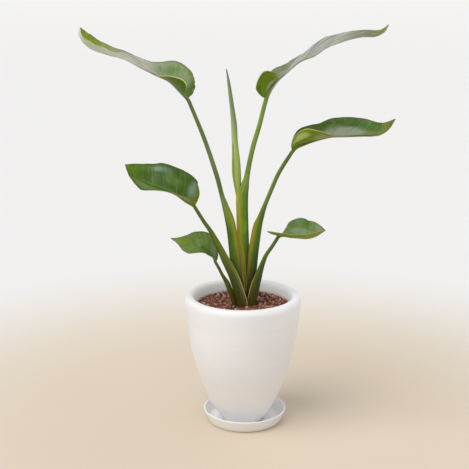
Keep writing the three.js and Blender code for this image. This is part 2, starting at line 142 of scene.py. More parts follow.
# Tones as sRGB, and the spacing and depth of the materials' fine relief in metres.
# DRY_TIP_BAND is where the brown tip begins and is full, as shares of the leaf.
RIB_TONE = "98a568"
DRY_TIP_TONE = "5a4424"
DRY_TIP_BAND = (0.975, 0.995)
FINE_VEIN_TONE = "38480a"
FINE_VEIN_SPACING = 0.0024
LEAF_RELIEF = 0.0006
GLAZE_RELIEF = 0.0003
GRAIN_TONES = [
    (0, "4c2a1f"), (0.3, "7d4a36"), (0.55, "9c5f45"), (0.75, "a8705c"), (0.9, "c29a88"), (1, "d0b3a2"),
]

# stalk rows are [x, y, z, half width], from the soil up to the blade. rib is the midrib from there to the
# tip. blade rows go along it, and each is [distance along the rib where a vein leaves it, where that vein
# ends, half width and fold of the near half, and the same three of the far half].
# sheath_top is the height where the sheath ends.
# seam is the edge of a sheath that shows on the stalk's front, as [height, angle in degrees].
# nicks are small tears of the far margin, as (place along the blade from 0 to 1, depth).
LEAVES = {}
LEAVES["leaf_tall_left"] = {
    "stalk": [
        [-9, 5, 272, 11], [-18, 5, 340, 12], [-27, 5, 418, 10.6], [-33, 5, 452, 9.8], [-42, 6, 483, 7.2],
        [-49, 7, 505, 5.3], [-60, 8, 548, 5.2], [-85, 9, 624, 4.7], [-117, 10, 704, 4.2],
    ],
    "rib": [
        [-120, 10, 709], [-132, 10, 722], [-144, 10, 735], [-159, 10, 747], [-180, 10, 756],
        [-218, 10, 774], [-249, 10, 790], [-283, 10, 799], [-317, 10, 811], [-334, 10, 826],
        [-341, 10, 843], [-337, 10, 854],
    ],
    "blade": [
        [0, 10, 5, 20, 0, 3, 50], [3, 13, 14, 22, -1, 15, 60], [8, 16, 26, 28, 4, 28, 62],
        [16, 24, 40, 33, 14, 38, 62], [28, 38, 49, 30, 32, 48, 59], [45, 56, 54, 18, 54, 54, 46],
        [64, 77, 55, 9, 74, 54, 31], [86, 99, 53, 23, 98, 52, 18], [110, 124, 50, 27, 124, 50, 13],
        [138, 152, 46, 22, 152, 46, 13], [166, 180, 41, 20, 182, 41, 19], [194, 208, 35, 27, 210, 35, 31],
        [222, 236, 27, 33, 237, 29, 47], [242, 252, 19, 33, 261, 23, 54], [261, 268, 9, 36, 272, 15, 45],
    ],
    "sheath_top": 500, "nicks": [(0.107, 3.4), (0.177, 2.8), (0.243, 1.6)],
}
LEAVES["leaf_tall_right"] = {
    "stalk": [
        [3, 27, 274, 9], [0, 25, 357, 11], [-4, 24, 407, 12.5], [-6, 24, 469, 12.6], [-6, 23, 500, 13],
        [-1, 21, 522, 9.5], [3, 20, 540, 6.6], [9, 19, 573, 5.5], [18, 17, 613, 5.4], [29, 15, 651, 5.1],
        [39, 12, 693, 4.8],
    ],
    "rib": [
        [43, 12, 709], [51, 10, 728], [63, 8, 745], [86, 5, 766], [113, 3, 787], [141, 1, 798],
        [165, 0, 814], [188, 0, 823], [213, 0, 831], [239, 0, 836], [266, 0, 837], [284, 0, 847],
        [291, 0, 861],
    ],
    "blade": [
        [0, 0, 3, 45, 0, 3, 20], [3, 1, 11, 50, 0, 14, 26], [9, 7, 22, 52, 8, 30, 28],
        [18, 17, 33, 53, 22, 42, 28], [32, 40, 43, 48, 42, 50, 26], [50, 60, 52, 18, 62, 55, 16],
        [70, 82, 55, 7, 82, 55, 10], [94, 108, 54, 14, 108, 54, 7], [124, 140, 51, 26, 140, 51, 17],
        [156, 170, 46, 31, 170, 46, 20], [188, 203, 40, 31, 203, 40, 20], [222, 236, 32, 29, 236, 32, 22],
        [256, 270, 22, 26, 270, 22, 31], [282, 292, 11, 26, 292, 11, 34],
    ],
    "sheath_top": 530, "seam": [[290, -72], [340, -80], [400, -98], [460, -108], [500, -112]],
}
LEAVES["leaf_mid_right"] = {
    "stalk": [
        [12, 11, 274, 9.5], [16, 11, 345, 10.4], [19, 11, 383, 10.8], [26, 10, 432, 9.8], [33, 9, 456, 7.2],
        [42, 7, 483, 5], [54, 5, 514, 4.7], [71, 3, 554, 4.5], [96, 0, 596, 4.1],
    ],
    "rib": [
        [99, 0, 601], [108, -1, 609], [120, -2, 615], [142, -4, 623], [174, -8, 631], [220, -12, 636],
        [261, -17, 638], [279, -19, 641], [295, -20, 652], [309, -20, 671],
    ],
    "blade": [
        [0, 0, 3, 40, 0, 3, 40], [3, 4, 9, 52, 4, 11, 51], [8, 11, 19, 58, 12, 22, 52],
        [18, 22, 30, 60, 24, 36, 50], [36, 42, 41, 52, 42, 44, 41], [56, 66, 47, 31, 66, 48, 34],
        [80, 92, 48, 14, 92, 49, 42], [108, 122, 46, 7, 122, 47, 44], [138, 152, 42, 6, 152, 42, 45],
        [166, 178, 33, 4, 178, 32, 48], [192, 201, 22, 3, 200, 22, 54], [212, 217, 14, 6, 216, 12, 48],
    ],
    "sheath_top": 478,
}
LEAVES["leaf_mid_left"] = {
    "stalk": [
        [-6, -14, 272, 11.3], [-17, -16, 311, 10.8], [-27, -19, 340, 10], [-41, -24, 371, 9.1],
        [-56, -30, 405, 6.7], [-71, -36, 435, 5], [-87, -40, 460, 4.2], [-103, -45, 488, 3.9],
    ],
    "rib": [
        [-105, -45, 493], [-120, -46, 502], [-131, -46, 510], [-147, -45, 520], [-160, -44, 526.5],
        [-172, -42, 531], [-184, -40, 535], [-204, -36, 541], [-222, -33, 551], [-239, -30, 564],
        [-249, -28, 577],
    ],
    "blade": [
        [0, 0, 3, 30, 0, 3, 45], [2, 2, 14, 32, -1, 17, 53], [7, 9, 27, 31, 3, 33, 56],
        [15, 18, 37, 26, 14, 45, 57], [28, 32, 43, 20, 29, 52, 57], [42, 50, 45, 14, 48, 54, 57],
        [60, 70, 45, 10, 68, 53, 56], [82, 93, 44, -2, 90, 52, 56], [106, 116, 38, -11, 114, 46, 54],
        [128, 138, 26, -9, 137, 35, 51], [150, 157, 12, -4, 157, 21, 48],
    ],
    "sheath_top": 400,
}
LEAVES["leaf_small_left"] = {
    "stalk": [
        [-22, -5, 270, 6.5], [-32, -7, 299, 6], [-39, -8, 317, 5.4], [-48, -10, 333, 3.7],
        [-55, -11, 348, 3.5], [-62, -12, 361, 3.3],
    ],
    "rib": [
        [-63, -12, 363], [-68, -11, 373], [-80, -9, 383], [-93, -8, 391], [-108, -7, 395], [-126, -6, 399],
        [-143, -5, 406], [-158, -4, 413],
    ],
    "blade": [
        [0, 0, 3, 30, 0, 3, 40], [2, 4, 12, 25, 4, 7, 50], [7, 10, 24, 20, 12, 15, 54],
        [16, 20, 34, 15, 22, 29, 57], [28, 34, 38, 10, 34, 39, 53], [43, 51, 39, -3, 51, 40, 47],
        [60, 68, 35, -11, 68, 35, 42], [78, 84, 22, -11, 85, 22, 40], [96, 99, 9, -2, 99, 9, 35],
    ],
    "sheath_top": 330,
}
LEAVES["leaf_small_right"] = {
    "stalk": [
        [15, -6, 271, 9.6], [20, -6, 298, 10.2], [26, -6, 321, 9], [34, -6, 348, 6.5], [44, -7, 375, 4.6],
        [58, -8, 397, 4.2], [70, -9, 417, 3.9],
    ],
    "rib": [
        [72, -9, 420], [83, -10, 420], [107, -12, 417], [132, -14, 415], [150, -15, 420], [170, -15, 433],
    ],
    "blade": [
        [0, -6, 4, 40, 3, 3, 45], [2, -25, 21, 38, 9, 9, 50], [6, -15, 30, 31, 13, 20, 54],
        [12, 4, 37, 24, 17, 31, 56], [22, 26, 43, 21, 27, 40, 56], [36, 44, 46, 24, 42, 45, 56],
        [52, 60, 44, 27, 60, 44, 53], [66, 74, 37, 30, 75, 42, 48], [80, 86, 27, 31, 90, 34, 46],
        [93, 96, 14, 28, 99, 18, 42],
    ],
    "sheath_top": 360,
}

# Looks of each leaf, with its tones as sRGB.
# upper and lower run along its two sides, from the base at 0 to the tip at 1. On the two tall leaves the grey
# and whitish middle of these runs is partly waxy bloom and partly painted sheen. light and dark are what the
# upper side's veins and clouds turn to, and pale and grey the same for the lower side. veins is how strong
# they are.
# lower_streaks is where along the leaf the lower side's streaks begin and are full, and how strong. On the
# tall leaves the pale streaks are partly veins and partly painted sheen.
# edge is the margin's tone. lower_edge is the same from below, from edge_from across the leaf outwards and
# as far along as edge_end. sweep leans the veins, wave scales the margin's waves, and gloss is the coat's
# roughness. rolls are the extra curl in degrees of the near and the far half at the base, and where it ends.
# spots are soft patches, as (place along the leaf, place across it from -1 at the near margin to 1 at the far
# one, reach along, reach across, tone, strength). Some are painted highlights, painted sheen and painted
# shade, and the others are waxy bloom, young tissue and darker or olive parts of the leaf's own colour.
# stalk holds the petiole's two tones, the sheath's two, its young side, its margin, its outer side and the
# keel. The outer side's tone darkens that side partly in its own colour and partly as painted shade, it
# darkens some fibres, and it is also painted shade between the sheaths near the soil. sheath_edge is how far
# out the margin's tone begins, from 0 at the middle of the stalk to 1 at its inner side, foot is how much
# painted shade darkens the sheath near the soil, and rim_from is where its pale dry rim begins.
# What most leaves have in common, and below it what each leaf has of its own
COMMON_LOOK = {
    "upper_spots": [], "lower_spots": [], "edge_end": 1.0, "edge_from": 0.955,
    "lower_streaks": (0.0, 0.1, 0.5), "sweep": 0.35, "rolls": (0, 0, 0.2), "gloss": 0.28,
    "foot": 0.0, "rim_from": 0.93,
}
LEAF_LOOKS = {}
LEAF_LOOKS["leaf_tall_left"] = {
    # The grey middle of the upper run is painted sheen, and the whitish middle of the lower run is partly
    # waxy bloom and partly painted sheen.
    "upper": [
        (0, "4f6a00"), (0.1, "5c7826"), (0.2, "6a8046"), (0.27, "838e6c"), (0.38, "a6aa96"),
        (0.52, "9ba182"), (0.64, "8a9250"), (0.74, "84940a"), (0.97, "a4b624"),
    ],
    "lower": [
        (0, "98a838"), (0.04, "4e6a00"), (0.17, "586e00"), (0.22, "6f7f30"), (0.29, "a0a78e"),
        (0.38, "cdd1c7"), (0.55, "cccfc2"), (0.7, "b8c198"), (0.85, "bbc59a"), (1, "d3d8ca"),
    ],
    # The first two upper spots are painted reflection on the far lobe.
    "upper_spots": [
        (0.1, 0.62, 0.07, 0.3, "a9b793", 0.4), (0.22, 0.9, 0.14, 0.25, "9fae89", 0.3),
        (0.03, 0.7, 0.05, 0.4, "3f5c0f", 0.5), (0.02, 0.97, 0.014, 0.07, "40381c", 0.9),
        (0.047, 0.97, 0.012, 0.06, "40381c", 0.9), (0.085, 0.98, 0.01, 0.05, "4c4424", 0.7),
    ],
    "lower_spots": [(0.16, -0.35, 0.07, 0.3, "585a00", 0.6)],
    "light": "8f9f74", "dark": "62743a", "pale": "f0f1ee", "grey": "8c9184",
    "edge": "5c6235", "lower_edge": "d9dfae", "edge_from": 0.93, "edge_end": 0.22,
    "veins": 0.6, "lower_streaks": (0.22, 0.36, 1.0), "sweep": 0.1, "wave": 0.35,
    "rolls": (35, 0, 0.24), "gloss": 0.34,
    "stalk": ("5a6e34", "7c8a50", "466600", "6a8c0a", "9aa01c", "94681c", "26390a", "c0c6ae"),
    "sheath_edge": 0.5, "foot": 0.6,
}
LEAF_LOOKS["leaf_tall_right"] = {
    # The grey middle of the upper run is painted sheen, and the whitish middle of the lower run is partly
    # waxy bloom and partly painted sheen.
    "upper": [
        (0, "566c18"), (0.07, "66704c"), (0.18, "747e5c"), (0.4, "8c9684"), (0.7, "76855c"),
        (0.88, "6f842f"), (0.95, "809414"), (1, "555830"),
    ],
    "lower": [
        (0, "6c8800"), (0.1, "5f7c00"), (0.15, "6f8418"), (0.21, "aeb4a8"), (0.32, "c9cec7"),
        (0.6, "c3c8c0"), (0.7, "9fa592"), (0.8, "848a62"), (0.9, "7f863c"), (0.965, "8a980a"),
        (0.99, "4f4f3c"),
    ],
    # The first lower spot is a painted highlight on the lobe.
    "lower_spots": [
        (0.095, -0.27, 0.055, 0.16, "a9ae90", 0.6), (0.03, -0.85, 0.07, 0.25, "425e00", 0.6),
        (0.1, -0.95, 0.1, 0.12, "4a6600", 0.5),
    ],
    "light": "a3ad91", "dark": "55632a", "pale": "e6e9e4", "grey": "7c8674",
    "edge": "5f6541", "lower_edge": "9aa860", "edge_end": 0.2,
    "veins": 0.35, "lower_streaks": (0.14, 0.24, 1.0), "sweep": 0.3, "wave": 0.5,
    "rolls": (55, 0, 0.2), "gloss": 0.32,
    "stalk": ("5f7c22", "7a9438", "4c7600", "70980a", "a2a61e", "a87c40", "304c0a", "bcc2aa"),
    "sheath_edge": 0.8, "foot": 0.6,
}
LEAF_LOOKS["leaf_mid_right"] = {
    "upper": [
        (0, "3f5c00"), (0.25, "3f5e00"), (0.6, "3c6000"), (0.8, "4a6e00"), (0.88, "6e7608"),
        (0.97, "7d7720"), (1, "4a4a28"),
    ],
    "lower": [
        (0, "4c6400"), (0.04, "627c00"), (0.2, "6c8000"), (0.27, "748028"), (0.4, "74824c"),
        (0.8, "6e7c3c"), (1, "6c6414"),
    ],
    # The first upper spot is painted sheen on the far half.
    "upper_spots": [
        (0.47, 0.2, 0.32, 0.42, "a3ab9a", 0.75), (0.36, 0.5, 0.12, 0.3, "7f9060", 0.4),
        (0.72, 0.5, 0.18, 0.36, "3f6a00", 0.6), (0.8, -0.5, 0.16, 0.6, "757a30", 0.8),
        (0.78, 0.06, 0.18, 0.2, "857c3a", 0.75),
    ],
    # The first lower spot is a painted highlight on the rolled near half, and the second is painted shade
    # along its lower side.
    "lower_spots": [
        (0.11, -0.7, 0.1, 0.22, "c8d084", 0.55), (0.13, -0.02, 0.16, 0.3, "424c00", 0.8),
        (0.27, -0.45, 0.08, 0.45, "9a985c", 0.65), (0.43, -0.75, 0.16, 0.5, "84783c", 0.85),
        (0.7, -0.75, 0.25, 0.5, "837a34", 0.85), (0.92, -0.6, 0.12, 0.6, "7f7a20", 0.8),
    ],
    "light": "879a66", "dark": "2c4800", "pale": "a2ac3c", "grey": "586400",
    "edge": "55521d", "lower_edge": "b9bd70", "edge_end": 0.35,
    "veins": 0.42, "lower_streaks": (0.0, 0.1, 0.15), "sweep": 0.6, "wave": 0.35,
    "rolls": (70, 20, 0.34), "gloss": 0.22,
    "stalk": ("526a1c", "6c8030", "466a00", "668a08", "94981a", "a06c30", "26380c", "8a9432"),
    "sheath_edge": 0.5, "foot": 0.55,
}
LEAF_LOOKS["leaf_mid_left"] = {
    "upper": [
        (0, "667000"), (0.05, "566a00"), (0.15, "405e06"), (0.4, "3c5a08"), (0.7, "426000"),
        (0.8, "4c6e00"), (0.97, "608000"), (1, "6e5f26"),
    ],
    "lower": [(0, "6e7e00"), (0.2, "6a7c10"), (0.6, "71843c"), (1, "7c9216")],
    # The first four upper spots are painted bluish sheen.
    "upper_spots": [
        (0.54, 0.76, 0.24, 0.18, "8aa596", 0.3), (0.56, 0.76, 0.1, 0.12, "9ab0a8", 0.3),
        (0.12, 0.6, 0.085, 0.5, "8fa89c", 0.3), (0.13, 0.64, 0.045, 0.32, "a5b8b0", 0.28),
        (0.36, 0.5, 0.14, 0.3, "6f8a4c", 0.4), (0.7, 0.3, 0.16, 0.3, "345208", 0.5),
        (0.3, 0.75, 0.1, 0.2, "38560a", 0.5), (0.6, -0.5, 0.26, 0.4, "7c9260", 0.5),
        (0.02, -0.3, 0.08, 0.6, "787400", 0.7),
    ],
    "light": "6f8c4c", "dark": "2f4a00", "pale": "93a05b", "grey": "5a6c22",
    "edge": "434911", "lower_edge": "8f8230",
    "veins": 0.42, "wave": 0.4,
    "gloss": 0.2,
    "stalk": ("526618", "64782a", "4c5c0e", "667214", "7d7c1c", "b8966c", "2c3c0c", "7c8c30"),
    "sheath_edge": 0.84, "rim_from": 0.84,
}
LEAF_LOOKS["leaf_small_left"] = {
    "upper": [
        (0, "50660e"), (0.15, "526e18"), (0.4, "6c8836"), (0.75, "7c943a"), (0.9, "869a36"),
        (0.96, "868537"), (1, "6a5340"),
    ],
    "lower": [(0, "6f841d"), (0.5, "7f943a"), (1, "808a26")],
    # The first upper spot is a painted highlight near the base.
    "upper_spots": [
        (0.12, 0.35, 0.12, 0.4, "8aa294", 0.4), (0.3, 0.05, 0.22, 0.2, "3c5c04", 0.6),
        (0.75, 0.3, 0.14, 0.4, "8ea41c", 0.5),
    ],
    "light": "9ab078", "dark": "44600e", "pale": "a3b06b", "grey": "5f7823",
    "edge": "4f541f", "lower_edge": "a9b26a",
    "veins": 0.4, "wave": 0.45,
    "stalk": ("4a5e1c", "5c7028", "465808", "6a7410", "7e8018", "a07c40", "4c5a14", "84963c"),
    "sheath_edge": 0.8, "rim_from": 0.86,
}
LEAF_LOOKS["leaf_small_right"] = {
    "upper": [
        (0, "64783b"), (0.2, "5e7838"), (0.6, "5f7c30"), (0.85, "6d8048"), (0.93, "847e26"), (1, "5c5a15"),
    ],
    "lower": [(0, "748800"), (0.3, "748800"), (0.6, "7e9000"), (0.8, "868600"), (1, "6a660a")],
    "upper_spots": [
        (0.4, 0.35, 0.3, 0.25, "a0ad91", 0.4), (0.5, 0.85, 0.2, 0.2, "4f7212", 0.6),
        (0.85, 0.5, 0.1, 0.4, "8f9c98", 0.4),
    ],
    "light": "95aa88", "dark": "45621a", "pale": "8d9a22", "grey": "4f5f00",
    "edge": "565a28", "lower_edge": "b2b878", "edge_from": 0.94, "edge_end": 0.96,
    "veins": 0.32, "wave": 0.25,
    "rolls": (25, 0, 0.6),
    "stalk": ("566e1e", "6c8232", "48660c", "607c14", "8a8c1e", "b8966c", "26360c", "7c8c1c"),
    "sheath_edge": 0.84, "foot": 0.2, "rim_from": 0.84,
}

# The rolled leaf as [x, y, z, half width]
SPEAR_ROWS = [
    [1, 27, 275, 4], [-5, 24, 406, 4], [-11, 24, 468, 4.4], [-14, 24, 500, 5.8], [-16, 24, 522, 8],
    [-18, 24, 546, 9.8], [-19, 24, 568, 9.6], [-20, 24, 592, 7.9], [-22, 24, 619, 6.8], [-24, 25, 657, 6.2],
    [-29, 25, 700, 4.6], [-34, 25, 737, 3.4], [-39, 25, 768, 0.9],
]
# The edge of the slim lobe and that of the outer turn, as [height, angle in degrees], where -90 is the front
SPEAR_LOBE_SEAM = [[508, -108], [545, -114], [575, -114], [606, -120]]
SPEAR_WRAP_SEAM = [[640, -2], [668, -20], [686, -55], [699, -100], [712, -175]]
SPEAR_SIDES = 72
SPEAR_HALF_DEPTH = 5.8
SPEAR_STEPS = 170
SPEAR_START = 0.12
SPEAR_GIRTH = 0.96


# Numbers and curves

def smooth_step(low, high, x):
    t = np.clip((np.asarray(x, float) - low) / (high - low), 0, 1)
    return t * t * (3 - 2 * t)


def between(a, b, slope_a, slope_b, f):
    """A cubic from a to b with these slopes at its ends, for f from 0 at a to 1 at b."""
    return (a + slope_a * f + (3 * b - 3 * a - 2 * slope_a - slope_b) * f**2
            + (2 * a - 2 * b + slope_a + slope_b) * f**3)


def read_rows(rows, t):
    """Smooth values between the rows of a table, for t from 0 at the first row to 1 at the last."""
    table = np.array(rows, float)
    place = np.clip(np.asarray(t, float), 0, 1) * (len(table) - 1)
    i = np.minimum(place.astype(int), len(table) - 2)
    f = (place - i)[:, None]
    before, a, b = table[np.maximum(i - 1, 0)], table[i], table[i + 1]
    after = table[np.minimum(i + 2, len(table) - 1)]
    return between(a, b, (b - before) / 2, (after - a) / 2, f)


def unit(v):
    return v / np.maximum(np.linalg.norm(v, axis=-1, keepdims=True), 1e-12)


def turn_angles(count):
    return np.linspace(0, 2 * math.pi, count, endpoint=False)


def lengths_along(points):
    """How far along a path of points each of them lies."""
    steps = np.linalg.norm(np.diff(points, axis=0), axis=1)
    return np.concatenate([[0], np.cumsum(steps)])


class RibCurve:
    """A centripetal Catmull-Rom curve through points, read by the distance along it."""

    STEPS = 80

    def __init__(self, points):
        p = np.array(points, float)
        padded = np.vstack([2 * p[0] - p[1], p, 2 * p[-1] - p[-2]])
        pieces = []
        for k in range(len(p) - 1):
            a, b, c, d = padded[k:k + 4]
            da, db, dc = (math.sqrt(np.linalg.norm(v)) for v in (b - a, c - b, d - c))
            slope_b = ((b - a) / da - (c - a) / (da + db) + (c - b) / db) * db
            slope_c = ((c - b) / db - (d - b) / (db + dc) + (d - c) / dc) * db
            f = np.linspace(0, 1, self.STEPS, endpoint=False)[:, None]
            pieces.append(between(b, c, slope_b, slope_c, f))
        self.points = np.vstack([*pieces, p[-1:]])
        self.distances = lengths_along(self.points)
        self.length = self.distances[-1]
        self.heading = 1 if p[-1][0] > p[0][0] else -1

    def at(self, distance):
        held = np.clip(distance, 0, self.length)
        return np.stack([np.interp(held, self.distances, self.points[:, k]) for k in range(3)], -1)

    def frame(self, distance):
        """Point, tangent, level side towards the viewer, and up, at each distance.

        The frame turns more slowly than the rib near the tip, where the rib bends sharply.
        """
        distance = np.asarray(distance, float)
        held = np.clip(distance, 0, self.length)
        reach = 0.4 + TIP_FRAME_REACH * smooth_step(0.7, 0.88, held / self.length)
        ahead = self.at(np.minimum(held + reach, self.length))
        behind = self.at(np.maximum(held - reach, 0))
        tangent = unit(ahead - behind)
        point = self.at(held) + tangent * np.minimum(distance, 0)[..., None]
        side = unit(np.stack([tangent[..., 1], -tangent[..., 0], np.zeros_like(tangent[..., 0])], -1))
        side = np.where(side[..., 1:2] > 0, -side, side)
        up = unit(np.cross(side, tangent)) * self.heading
        return point, tangent, side, up


# Meshes

def grid_points(x, y, z):
    """Points row by row, from coordinates that may be the same along a row or a column."""
    return np.stack(np.broadcast_arrays(x, y, z), -1).reshape(-1, 3)


def grid_faces(rows, columns, closed=False):
    """Quads of a grid of points. A closed grid joins its last column to its first."""
    i = np.arange(rows - 1)[:, None]
    j = np.arange(columns if closed else columns - 1)[None, :]
    right = (j + 1) % columns
    a = i * columns + j
    b = i * columns + right
    return np.stack([a, b, b + columns, a + columns], -1).reshape(-1, 4)


def ring_faces(first, second, count):
    """Quads between two rings of points, which start at these indices."""
    ring = np.arange(count)
    after = (ring + 1) % count
    return np.stack([first + ring, first + after, second + after, second + ring], -1)


def make_piece(name, points, faces, materials, face_materials=None, attributes=None, smooth=True):
    """A mesh object from points in metres, with vectors or numbers stored on its points for the materials."""
    mesh = bpy.data.meshes.new(name)
    mesh.from_pydata([tuple(p) for p in points], [], [tuple(int(k) for k in f) for f in faces])
    for material in materials:
        mesh.materials.append(material)
    if face_materials is not None:
        mesh.polygons.foreach_set("material_index", np.asarray(face_materials, np.int32))
    for key, values in (attributes or {}).items():
        values = np.asarray(values, np.float32)
        kind, field = ("FLOAT_VECTOR", "vector") if values.ndim == 2 else ("FLOAT", "value")
        mesh.attributes.new(key, kind, "POINT").data.foreach_set(field, values.ravel())
    mesh.polygons.foreach_set("use_smooth", np.full(len(mesh.polygons), smooth))
    mesh.update()
    piece = bpy.data.objects.new(name, mesh)
    bpy.context.scene.collection.objects.link(piece)
    return piece


def place_piece(piece, slot, *nodes):
    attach(piece, "root")
    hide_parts(*nodes)


# Materials

def linear(code):
    """A linear colour from six hexadecimal sRGB digits."""
    channels = [int(code[k:k + 2], 16) / 255 for k in (0, 2, 4)]
    return [c / 12.92 if c <= 0.04045 else ((c + 0.055) / 1.055) ** 2.4 for c in channels] + [1]


class Value:
    """What a node gives over a surface. Sums, differences and products are worked out by further nodes."""

    def __init__(self, finish, socket):
        self.finish = finish
        self.socket = socket

    def __add__(self, other):
        return self.finish.math("ADD", self, other)

    def __sub__(self, other):
        return self.finish.math("SUBTRACT", self, other)

    def __mul__(self, other):
        return self.finish.math("MULTIPLY", self, other)

    def size(self):
        return self.finish.math("ABSOLUTE", self)

    def band(self, low, high):
        """0 below low, 1 above high, and smooth between. It falls where low is the larger."""
        falls = low > high
        return self.finish.node("MapRange", {
            "Value": self, "From Min": min(low, high), "From Max": max(low, high),
            "To Min": 1.0 if falls else 0.0, "To Max": 0.0 if falls else 1.0,
        }, interpolation_type="SMOOTHSTEP")


class Finish:
    """A material made of nodes round one Principled shader."""

    def __init__(self, name, roughness=0.5, specular=0.5, coat=0.0, coat_roughness=0.2):
        self.material = bpy.data.materials.new(name)
        self.material.use_nodes = True
        self.tree = self.material.node_tree
        self.tree.nodes.clear()
        self.shader = self.tree.nodes.new("ShaderNodeBsdfPrincipled")
        output = self.tree.nodes.new("ShaderNodeOutputMaterial")
        self.tree.links.new(self.shader.outputs["BSDF"], output.inputs["Surface"])
        self.put(self.shader.inputs["Roughness"], roughness)
        self.put(self.shader.inputs["Specular IOR Level"], specular)
        self.put(self.shader.inputs["Coat Weight"], coat)
        self.put(self.shader.inputs["Coat Roughness"], coat_roughness)
        self.place = self.node("TexCoord", {}, "Object")

    def put(self, socket, value):
        if isinstance(value, Value):
            self.tree.links.new(value.socket, socket)
        else:
            socket.default_value = linear(value) if isinstance(value, str) else value

    def node(self, kind, inputs, output=0, **settings):
        """What a new node gives. inputs says what goes into each of its sockets."""
        node = self.tree.nodes.new("ShaderNode" + kind)
        for key, setting in settings.items():
            setattr(node, key, setting)
        for key, value in inputs.items():
            self.put(node.inputs[key], value)
        return Value(self, node.outputs[output])

    def math(self, operation, a, b=0.0):
        return self.node("Math", {0: a, 1: b}, operation=operation)

    def length(self, x, y):
        return self.math("SQRT", x * x + y * y)

    def split(self, vector):
        """The three numbers of a vector."""
        return [self.node("SeparateXYZ", {0: vector}, k) for k in range(3)]

    def stored(self, name):
        """The three numbers stored under a name on the points of the mesh."""
        return self.split(self.node("Attribute", {}, "Vector", attribute_name=name))

    def noise(self, scale, detail=3.0, roughness=0.5, place=None):
        return self.node("TexNoise", {
            "Vector": place or self.place, "Scale": scale, "Detail": detail, "Roughness": roughness,
        })

    def streaks(self, numbers, scales, detail, roughness):
        """Noise over three numbers, each with a scale of its own."""
        place = {k: number * scale for k, (number, scale) in enumerate(zip(numbers, scales))}
        return self.noise(1, detail, roughness, self.node("CombineXYZ", place))

    def lines(self, value, spacing, width):
        """Thin lines across a value, one for each spacing: 1 on a line and 0 off it."""
        return self.math("SINE", value * (math.pi / spacing)).size().band(width, 0.0)

    def ramp(self, value, stops):
        colour = self.node("ValToRGB", {0: value})
        elements = colour.socket.node.color_ramp.elements
        while len(elements) < len(stops):
            elements.new(1)
        for element, (position, code) in zip(elements, stops):
            element.position = position
            element.color = linear(code)
        return colour

    def paint(self, colour, *layers):
        """A colour with layers over it, each a tone and how much of it shows."""
        for tone, amount in layers:
            colour = self.node("Mix", {0: amount, 6: colour, 7: tone}, 2, data_type="RGBA")
        return colour

    def wear(self, colour, roughness=None, relief=None, depth=0.001, strength=1.0):
        """Gives the surface its colour, roughness and fine relief, and returns the material."""
        self.put(self.shader.inputs["Base Color"], colour)
        if roughness:
            self.put(self.shader.inputs["Roughness"], roughness)
        if relief:
            bump = self.node("Bump", {"Height": relief, "Distance": depth, "Strength": strength})
            self.put(self.shader.inputs["Normal"], bump)
        return self.material


def leaf_values(skin):
    """Irregular vein streaks, fine even veins, the way across the leaf and the way along it."""
    vein, across, along = skin.stored("leaf")
    streaks = skin.streaks((vein, across), (190, 0.9), 3, 0.6)
    fine = skin.lines(vein + skin.noise(70, 2) * 0.003, FINE_VEIN_SPACING, 0.7)
    return streaks, fine, across, along


def spot_layers(spots, across, along, cloud):
    """Soft patches, uneven at their borders."""
    uneven = cloud * 1.2 - 0.6
    layers = []
    for centre_along, centre_across, reach_along, reach_across, code, strength in spots:
        x = (along - centre_along) * (1 / reach_along)
        y = (across - centre_across) * (1 / reach_across)
        layers.append((code, (x * x + y * y + uneven).band(1.0, 0.05) * strength))
    return layers


def blade_upper_finish(name, look):
    skin = Finish(name + "_upper", specular=0.22, coat=0.12, coat_roughness=look["gloss"])
    streaks, fine, across, along = leaf_values(skin)
    from_rib = across.size()
    cloud = skin.noise(26, 4, 0.6)
    patches = skin.noise(55, 3, 0.55)
    colour = skin.paint(
        skin.ramp(along + patches * 0.1 - 0.05, look["upper"]),
        (look["light"], cloud.band(0.5, 0.78) * 0.45),
        (look["dark"], patches.band(0.46, 0.3) * 0.35),
        *spot_layers(look["upper_spots"], across, along, cloud),
        (look["light"], streaks.band(0.52, 0.7) * look["veins"]),
        (look["dark"], streaks.band(0.47, 0.3) * look["veins"]),
        (look["dark"], fine * 0.14),
        (RIB_TONE, from_rib.band(0.05, 0.015) * along.band(0.9, 0.5) * 0.28),
        (look["edge"], from_rib.band(0.92, 0.985) * patches.band(0.2, 0.4) * 0.85),
        (DRY_TIP_TONE, along.band(*DRY_TIP_BAND)),
    )
    relief = skin.noise(420, 2) * 0.3 + streaks * 0.5 + fine * -0.3
    return skin.wear(colour, cloud * 0.2 + 0.38, relief, LEAF_RELIEF, 0.6)


def blade_lower_finish(name, look):
    skin = Finish(name + "_lower", specular=0.2, coat=0.06, coat_roughness=look["gloss"])
    veins, fine, across, along = leaf_values(skin)
    from_rib = across.size()
    cloud = skin.noise(30, 4, 0.6)
    streaks = skin.streaks((along, along * -34 + from_rib * 11, across), (5, 1, 1.5), 3, 0.6)
    streaks_start, streaks_full, strength = look["lower_streaks"]
    share = along.band(streaks_start, streaks_full) * strength
    margin = from_rib.band(look["edge_from"], look["edge_from"] + 0.03)
    margin *= along.band(look["edge_end"] + 0.08, look["edge_end"])
    colour = skin.paint(
        skin.ramp(along + cloud * 0.06 - 0.03, look["lower"]),
        *spot_layers(look["lower_spots"], across, along, cloud),
        (look["grey"], streaks.band(0.5, 0.64) * share * 0.6),
        (look["pale"], streaks.band(0.47, 0.33) * share * 0.75),
        (look["grey"], veins.band(0.52, 0.68) * share * 0.25),
        (FINE_VEIN_TONE, fine * 0.14),
        (look["lower_edge"], margin * 0.85),
        (DRY_TIP_TONE, along.band(*DRY_TIP_BAND)),
    )
    relief = skin.noise(420, 2) * 0.3 + streaks * 0.6 + fine * 0.3
    return skin.wear(colour, cloud * 0.2 + 0.42, relief, LEAF_RELIEF, 0.7)


def stem_values(skin, *scales):
    """The way round a stem as a cosine, the fibres along it, and the height."""
    cos_angle, sin_angle, run = skin.stored("grain")
    fibres = skin.streaks((cos_angle, sin_angle, run), scales, 4, 0.6)
    return cos_angle, fibres, skin.split(skin.place)[2]


